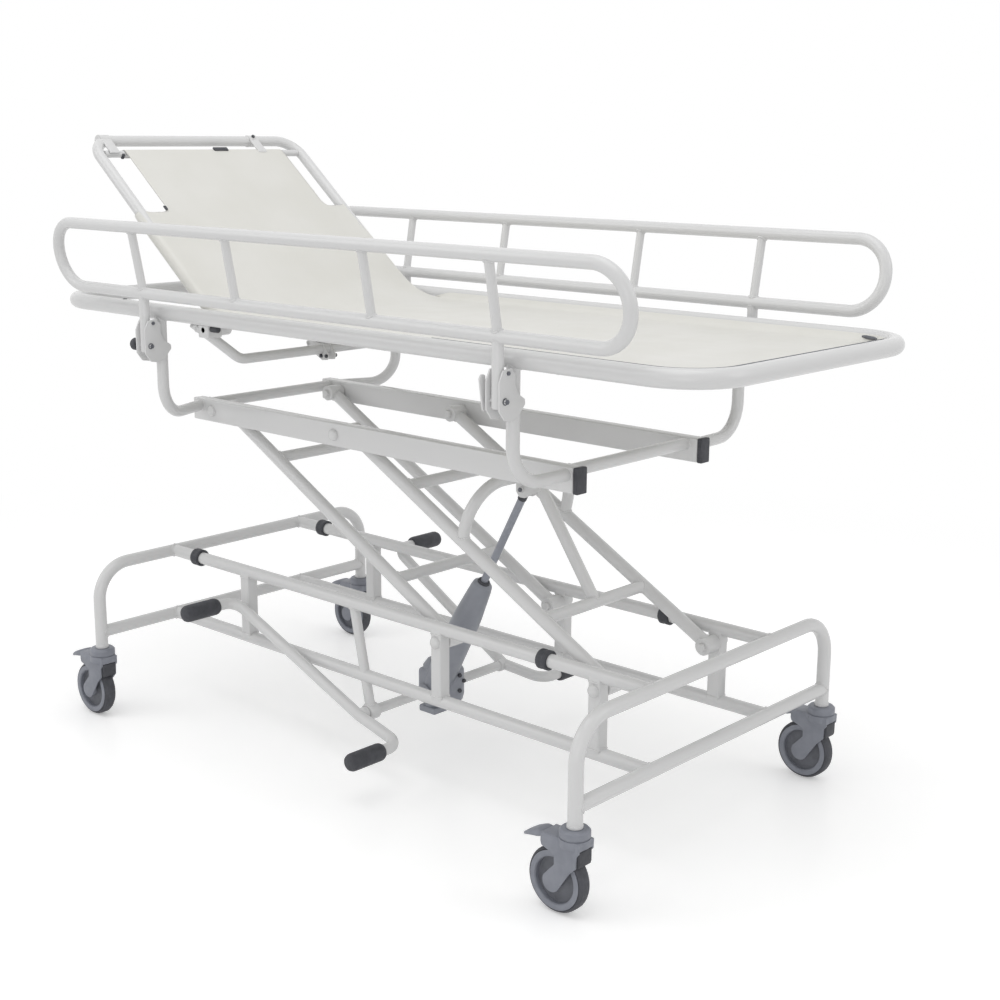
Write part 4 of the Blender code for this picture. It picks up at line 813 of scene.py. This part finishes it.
def makeBed():
    bm = bmesh.new()
    half, y, z, r = bed["halfLength"], bed["halfWidth"], bed["z"], bed["tube"]
    sweep(bm, bent([(-half, -y, z), (half, -y, z), (half, y, z), (-half, y, z)], bed["bend"], True), r, True, 36)
    run = ((0.344, z - 0.007), (0.322, z - 0.012), (0.285, z - bed["crossDrop"]))
    for x in bed["cross"]:      # the ends are set up into the ring tube, clear of the hem
        path = [(x, -at, level) for at, level in run] + [(x, at, level) for at, level in run[::-1]]
        sweep(bm, bent(path, bed["crossBend"]), bed["crossTube"])
    edge, stub = bed["hingeHalf"], mm((-406, 3.5), (-404.5, 6.2), (-401, 8.5), (-356, 8.5))      # place, radius
    for way in bothWays:
        low, high = sorted((way * bed["hingeY"], way * y))
        block(bm, (hinge.x - edge, low, hinge.z - edge), (hinge.x + edge, high, z), 0.003)
        straight(bm, (hinge.x, way * bed["pinY"], hinge.z), (hinge.x, way * y, hinge.z), bed["pin"])
        # round-ended stop stub that runs along under the tube at the hinge
        sweep(bm, [(at, way * bed["stubY"], hinge.z) for at, _ in stub], [thick for _, thick in stub])
    (seatX, seatY, seatZ), wide = bed["bailSeat"], bed["bailHalf"]
    corners = [(seatX, -seatY, seatZ), (bail.x, -wide, bail.z), (bail.x, wide, bail.z), (seatX, seatY, seatZ)]
    sweep(bm, bent(corners, bed["bailBend"]), bed["bailTube"])
    lugPair(bm, offXz(gasFoot, (-9, 2), (-2, -10))
            + offXz(bail, (4, -25), (22, -23), (26, -12), (8, 12), (-10, 14)) + offXz(gasFoot, (2, 10)))
    straight(bm, gasFoot - alongY * bed["lugY"], gasFoot + alongY * bed["lugY"], 0.0048, 20)
    addPiece("bed_tubes", bm, powderCoat, "platform", ["bed_frame"])
    bm = bmesh.new()      # lug screws, hinge bushes and the plugs on top of the tube
    sleeve = eased(mm((0, 11), (5.5, 11), (7, 9), (7, -12), (0, -12)), 0.001)
    plug = eased(mm((0, 1.2), (4, 1.2), (5.2, -2), (0, -2)), 0.0005)
    for way in bothWays:
        for x, level in offXz(bail, (3, -15), (21, -14)):
            hexHead(bm, (x, way * bed["lugY"], level), (0, way, 0), 0.009, 0.004)
        turned(bm, sleeve, (hinge.x + bed["bushX"], way * bed["bushY"], hinge.z + 0.003), alongX)
        turned(bm, plug, (bed["plugX"], way * (y - 0.002), z + r), alongZ, 24)
    addPiece("bed_bushes", bm, mouldedRubber, "platform")


makePlatform()
makeBed()
print("platform and bed made")


# backrest

back = {"tube": 0.0125, "y": 0.300, "length": 0.605, "bend": 0.055, "bar": 0.280, "barTube": 0.011, "hem": 0.560,
        "hemTube": 0.008, "hemHalf": 0.286, "bore": 0.0063, "boss": 0.015, "bossHalf": 0.014, "lugY": 0.0125,
        "straps": (-0.264, 0.168), "strapHalf": 0.013, "strapLoop": 0.0018,
        "tabs": (((0.5580, 0.022, -0.0128), (0.5690, 0.064, -0.0088)),
                 ((0.5490, -0.2430, -0.0060), (0.5600, -0.2365, 0.0060)),
                 ((0.3560, -0.2430, -0.0160), (0.3680, -0.2360, -0.0125)))}
leanWay, leanUp = Vector((-0.768284, 0, 0.640110)), Vector((0.640110, 0, 0.768284))
leanFrame = Matrix.Translation(hinge) @ Matrix((leanWay, alongY, leanWay.cross(alongY))).transposed().to_4x4()


def onBack(along, y, rise=0.0):
    return hinge + leanWay * along + leanUp * rise + alongY * y


def makeBackrest():
    bm = bmesh.new()
    y, r, top, hem, bar = back["y"], back["tube"], back["length"], back["hem"], back["bar"]
    sweep(bm, bent([onBack(0, -y), onBack(top, -y), onBack(top, y), onBack(0, y)], back["bend"]), r)
    branch(bm, onBack(bar, -y), onBack(bar, y), back["barTube"], (leanWay, leanWay), (r, r))
    lugPair(bm, offXz(onBack(bar, 0), (9, 6), (-9, 6)) + offXz(gasTip, (-10, -4), (0, -10), (10, -2)))
    for way in bothWays:
        disc(bm, 0.006, 0.005, 0.0008, gasTip + alongY * way * back["lugY"], (0, way, 0))
        bush(bm, back["bore"], back["boss"], back["bossHalf"], 0.0012, onBack(0, way * y))
    addPiece("backrest_tubes", bm, powderCoat, "backrest", ["backrest_frame"])
    bm = bmesh.new()
    straight(bm, onBack(hem, -back["hemHalf"]), onBack(hem, back["hemHalf"]), back["hemTube"], 24)
    for strap in back["straps"]:      # strap plates that hook the hem bar to the top tube
        low, high = strap - back["strapHalf"], strap + back["strapHalf"]
        block(bm, (hem - 0.008, low, -0.0125), (top, high, -0.0085), 0.0012, leanFrame)
        straight(bm, onBack(top, low), onBack(top, high), r + back["strapLoop"], 32)
    addPiece("hem_bar_and_straps", bm, powderCoat, "backrest", ["hem_bar"])
    bm = bmesh.new()      # strap screw, pull loop on the hem and the stitched ends of the neck
    hexHead(bm, onBack(top, back["straps"][1], r + 0.0016), leanUp, 0.009, 0.004)
    for low, high in back["tabs"]:
        block(bm, low, high, 0.0010, leanFrame)
    addPiece("hem_fittings", bm, mouldedRubber, "backrest")


gas = {"rod": 0.0049, "rodStart": 0.086, "rodEnd": 0.008, "eye": 0.011, "eyeBore": 0.0052, "eyeHalf": 0.0066}


def makeGasSpring():
    axis, reach = (gasTip - gasFoot).normalized(), (gasTip - gasFoot).length
    bm = bmesh.new()
    body = mm((5.5, 165), (9.2, 165), (11.8, 161), (11.8, 20), (7.5, 15.5), (0, 15.5))
    turned(bm, eased(body, 0.0012), gasFoot, axis, 36)
    bush(bm, gas["eyeBore"], gas["eye"], gas["eyeHalf"], 0.0008, gasFoot, 32)
    addPiece("gas_spring_tube", bm, mouldedRubber, "gas_cylinder", ["gas_spring_cylinder"])
    bm = bmesh.new()
    straight(bm, gasFoot + axis * gas["rodStart"], gasFoot + axis * (reach - gas["rodEnd"]), gas["rod"], 24)
    turned(bm, eased(mirrored([(0, gas["eyeHalf"]), (gas["eye"], gas["eyeHalf"])]), 0.0008), gasTip, alongY, 32)
    addPiece("gas_spring_shaft", bm, groundRod, "gas_rod", ["gas_spring_rod"])


makeBackrest()
makeGasSpring()
print("backrest made")


# sling sheet: one cloth from the foot end up over the backrest

sling = {"level": 0.9645, "foot": 0.8935, "halfBed": 0.3085, "edgeRoll": 0.024, "edgeRise": 0.0155, "corner": 0.088,
         "lift": 0.0142, "fold": 0.26, "slotStart": 0.352, "slotEase": (0.015, 0.010), "neck": 0.7833,
         "wrap": 205.0, "hemWrap": 215.0, "hemGap": 0.0012, "sag": 0.0035, "backSag": 0.0014, "crease": 0.0007,
         "sagRun": (-0.30, 1.18), "backSagRun": (0.08, 0.46), "overX": -0.295, "overRun": 0.10, "thick": 0.0014}


def clamped(value):
    return min(max(value, 0.0), 1.0)


def hump(at, start, run):    # rises from 0 to 1 and back to 0 along a run
    return math.sin(math.pi * clamped((at - start) / run))


def slingLine():    # the cloth's middle line: close rows round the foot corners, then even ones
    corner = onBack((sling["level"] - hinge.z - leanUp.z * sling["lift"]) / leanWay.z, 0, sling["lift"])
    headTop = onBack(back["hem"] - 0.004, 0, 0.0098)
    line = bent([(sling["foot"], 0, sling["level"]), corner, headTop], sling["fold"], False, 4)
    runs = [sling["corner"] * (1 - math.sin(math.radians(90 - 6 * k))) for k in range(15)]
    spots = [line[0] - alongX * run for run in runs]
    evenStart = line[0] - alongX * sling["corner"]
    spots += [evenStart.lerp(line[1], k / 40) for k in range(40)]
    return corner, spots + line[1:-1] + [line[-2].lerp(headTop, k / 22) for k in range(1, 23)]


def makeSling():
    rise, y, neck, corner = sling["lift"], back["y"], sling["neck"], sling["corner"]
    fold, spots = slingLine()
    half = [neck * k / 9 for k in range(10)]
    half += [neck + step for step in (0.010, 0.026, 0.048, 0.085, 0.140, 0.180, 0.2167)]
    roll = 9      # a row is its share of the half width and how far round the edge it has turned
    row = [(-1, -k / roll) for k in range(-roll, 0)] + [(-c, 0.0) for c in half[:0:-1]]
    row += [(c, 0.0) for c in half] + [(1, k / roll) for k in range(1, roll + 1)]
    bm = bmesh.new()
    rows, alongs = [], []
    for i, spot in enumerate(spots):
        onLean = (spot - hinge).dot(leanWay) if spot.x < fold.x + 0.10 else -1.0
        share = clamped((sling["overX"] - spot.x) / sling["overRun"])
        share = share * share * (3 - 2 * share)      # 0 on the bed, 1 on the backrest
        run = max(spot.x - sling["foot"] + corner, 0.0)
        bedHalf = sling["halfBed"] - corner + math.sqrt(max(corner ** 2 - run ** 2, 0))
        ahead = (spots[min(i + 1, len(spots) - 1)] - spots[max(i - 1, 0)]).normalized()
        up = ahead.cross(alongY) * -1
        up = up if up.z > 0 else -up
        hem = max(0.0, 1 - (sling["foot"] - spot.x) / sling["edgeRoll"])      # the foot hem stands up like the others
        dip = sling["sag"] * hump(spot.x, *sling["sagRun"]) if share < 1 else 0.0
        dip += sling["backSag"] * hump(onLean, *sling["backSagRun"])
        made = []
        for c, t in row:
            turn = math.radians(sling["wrap"]) * t
            bedY, bedZ = c * (bedHalf + t ** 0.9 * sling["edgeRoll"]), sling["edgeRise"] * max(t, hem) ** 2
            backY, backZ = c * (y + rise * math.sin(turn)), rise * (math.cos(turn) - 1)
            sag = 0.0 if t else dip * (1 - c * c)
            put = spot + alongY * (bedY * (1 - share) + backY * share)
            put += up * (bedZ * (1 - share) + backZ * share - sag)
            if not t:
                put += up * sling["crease"] * noise.noise(Vector((put.x * 7, put.y * 7, 3.1)))
            made.append(bm.verts.new(put))
        rows.append(made)
        alongs.append(onLean)
    # the neck goes on round the hem bar
    bar, wrapRadius, inNeck = onBack(back["hem"], 0), back["hemTube"] + sling["hemGap"], neck + 0.0067
    for k in range(1, 19):
        a = math.radians(8 + sling["hemWrap"] * k / 18)
        spot = bar + leanUp * wrapRadius * math.cos(a) + leanWay * wrapRadius * math.sin(a)
        rows.append([bm.verts.new(spot + alongY * (c * y)) if abs(c) <= inNeck and not t else None for c, t in row])
        alongs.append(back["hem"])
    # the slots beside the neck end in round corners
    slotRow = next(i for i, along in enumerate(alongs) if along >= sling["slotStart"])
    for vert, (c, t) in zip(rows[slotRow], row):
        for away, radius in zip(((abs(c) - neck) * y, (1 - abs(c)) * y), sling["slotEase"]):
            if -0.0001 <= away < radius:
                vert.co += leanWay * (radius - math.sqrt(radius ** 2 - (radius - away) ** 2))
    for i, (one, two) in enumerate(zip(rows, rows[1:])):
        for j in range(len(row) - 1):
            corners = (one[j], one[j + 1], two[j + 1], two[j])
            cut = alongs[i] >= sling["slotStart"] and any(abs(c) >= inNeck or t for c, t in row[j:j + 2])
            if None not in corners and not cut:
                bm.faces.new(corners)
    bmesh.ops.delete(bm, geom=[v for v in bm.verts if not v.link_faces], context="VERTS")
    area = sum(f.calc_area() for f in bm.faces)
    mesh = bpy.data.meshes.new("sling_sheet")
    bmesh.ops.recalc_face_normals(bm, faces=bm.faces)
    bm.to_mesh(mesh)
    bm.free()
    mesh.materials.append(coatedCloth)
    sheet = linked("sling_sheet", mesh)
    thick = sheet.modifiers.new("thickness", "SOLIDIFY")
    thick.thickness, thick.offset = sling["thick"], 0.0
    smooth = sheet.modifiers.new("smooth", "SUBSURF")
    smooth.levels = smooth.render_levels = 1
    bpy.context.view_layer.update()
    final = bpy.data.meshes.new_from_object(sheet.evaluated_get(bpy.context.evaluated_depsgraph_get()))
    sheet.modifiers.clear()
    sheet.data = final
    final.shade_smooth()
    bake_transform(sheet)
    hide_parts("lying_sheet", "backrest_sheet")


shadowCord = {"cord": 0.0014, "gap": 0.0003, "turn": 38.0, "startX": 0.30, "endY": 0.245, "knotX": 0.832,
          "knotY": 0.3190, "knotDrop": 0.010}


def makeShadowCord():    # dark cord on the tube's inner shoulder, knotted at the far foot corner: painted shadow, a dark strip for the shadow line in the gap between sheet and tube
    bm = bmesh.new()
    turn, out = math.radians(shadowCord["turn"]), bed["tube"] + shadowCord["cord"] + shadowCord["gap"]
    inset, z = out * math.sin(turn), bed["z"] + out * math.cos(turn)
    x, y = bed["halfLength"] - inset, bed["halfWidth"] - inset
    path = bent([(shadowCord["startX"], -y, z), (x, -y, z), (x, shadowCord["endY"], z)], bed["bend"] - inset)
    sweep(bm, path, shadowCord["cord"], around=10)
    knot = eased(mirrored(mm((0, 22), (2, 21), (3.4, 10))), 0.002)
    turned(bm, knot, (shadowCord["knotX"], shadowCord["knotY"], z - shadowCord["knotDrop"]), (1, -0.42, 0), 20)
    # the cord's dark colour paints the shadow line between sheet and tube
    addPiece("sheet_edge_shadow_cord", bm, nylonDarkPaintedShade, "platform")


makeSling()
makeShadowCord()
print("sling and lacing made")


# side rails, brackets and latch knobs

rails = {"tube": 0.0125, "bar": 0.009, "leg": 0.011, "y": 0.396, "topY": 0.422, "low": 1.012511, "high": 1.154011,
         "half": 0.81, "bend": 0.07045, "legX": 0.515, "barX": 0.200, "pivotZ": 0.900011, "legFoot": 0.885011,
         "pin": 0.0048, "pinReach": 0.0223, "knobReach": 0.0333}
bracket = {"web": 0.3708, "webHalf": 0.0172, "webThick": 0.0058, "cheekX": 0.0155, "cheekThick": 0.0038,
           "low": 0.872011, "high": 0.950011, "screwY": 0.388, "lever": 0.004, "leverGap": 0.0077}


def makeRail(side, way):
    bm = bmesh.new()
    y, topY, low, high, r = way * rails["y"], way * rails["topY"], rails["low"], rails["high"], rails["tube"]
    half, leg, pivotZ, foot, legX = (rails[k] for k in ("half", "leg", "pivotZ", "legFoot", "legX"))
    loop = bent([(-half, y, low), (half, y, low), (half, topY, high), (-half, topY, high)], rails["bend"], True, 6)
    sweep(bm, loop, r, True)
    for x in (-legX, -rails["barX"], rails["barX"], legX):
        branch(bm, (x, y, low), (x, topY, high), rails["bar"], (alongX, alongX), (r, r))
    for x, reach in ((-legX, rails["knobReach"]), (legX, rails["pinReach"])):
        sweep(bm, [(x, y, z) for z in (foot, foot + 0.001, foot + 0.003, low)], [leg - 0.004, leg - 0.0015, leg, leg])
        saddle(bm, (x, y, low), alongX, -alongZ, r, leg, weld["thin"])
        straight(bm, (x - reach, y, pivotZ), (x + rails["pinReach"], y, pivotZ), rails["pin"], 20)
    addPiece(f"{side}_rail_tubes", bm, powderCoat, f"rail_{side}", [f"side_rail_{side}"])
    bm = bmesh.new()
    knob = mm((0, 44.8), (7.5, 44.7), (11.5, 43.2), (13.5, 39.5), (13.5, 27.5), (12.5, 25.4), (9.2, 24.6), (9, 19),
              (8.6, 17.9), (5.2, 17.9), (5.2, 33.8), (0, 33.8))
    turned(bm, knob, (-legX, y, pivotZ), -alongX)
    addPiece(f"{side}_latch_grip", bm, mouldedRubber, f"knob_{side}", [f"latch_knob_{side}"])
    for end, toward in ends.items():
        makeBracket(side, way, end, toward * legX)


def makeBracket(side, way, end, x):
    bm = bmesh.new()
    wide, low, high, at = bracket["webHalf"], bracket["low"], bracket["high"], bracket["cheekX"]
    web = [(x - wide, low), (x + wide, low), (x + wide, high), (x - wide, high)]
    plate(bm, roundOutline(web, 0.004), bracket["webThick"], inXz(way * bracket["web"]), 0.0010)
    cheek = mm((409.5, 884), (410, 934), (400, 955), (376, 958), (371, 932), (360, 910), (343, 899), (342, 890),
               (360, 870), (378, 863), (396, 866))
    shape = roundOutline([(way * y, z) for y, z in cheek], 0.0035)
    for toward in bothWays:
        plate(bm, shape, bracket["cheekThick"], inYz(x + toward * at))
    addPiece(f"{side}_{end}_rail_bracket", bm, powderCoat, "platform", [f"rail_bracket_{side}_{end}"])
    bm = bmesh.new()
    face = at + bracket["cheekThick"] / 2
    for toward in bothWays:
        spot = x + toward * face
        if end == "foot" or toward > 0:
            hexHead(bm, (spot, way * rails["y"], rails["pivotZ"]), (toward, 0, 0), 0.010, 0.0055, 0.013)
        hexHead(bm, (spot, way * bracket["screwY"], high - 0.001), (toward, 0, 0), 0.008, 0.003)
    addPiece(f"{side}_{end}_bracket_screws", bm, zincPlate, "platform")
    if end == "foot":      # thumb lever that frees the foot leg
        bm = bmesh.new()
        lever = mm((392, 884), (408, 879), (417, 938), (412, 946), (402, 944), (401, 920))
        plate(bm, roundOutline([(way * y, z) for y, z in lever], 0.004), bracket["lever"],
              inYz(x - face - bracket["leverGap"]), 0.0012)
        addPiece(f"{side}_rail_thumb_lever", bm, powderCoat, "platform")


for sideName, sideWay in sides.items():
    makeRail(sideName, sideWay)
print("rails made")
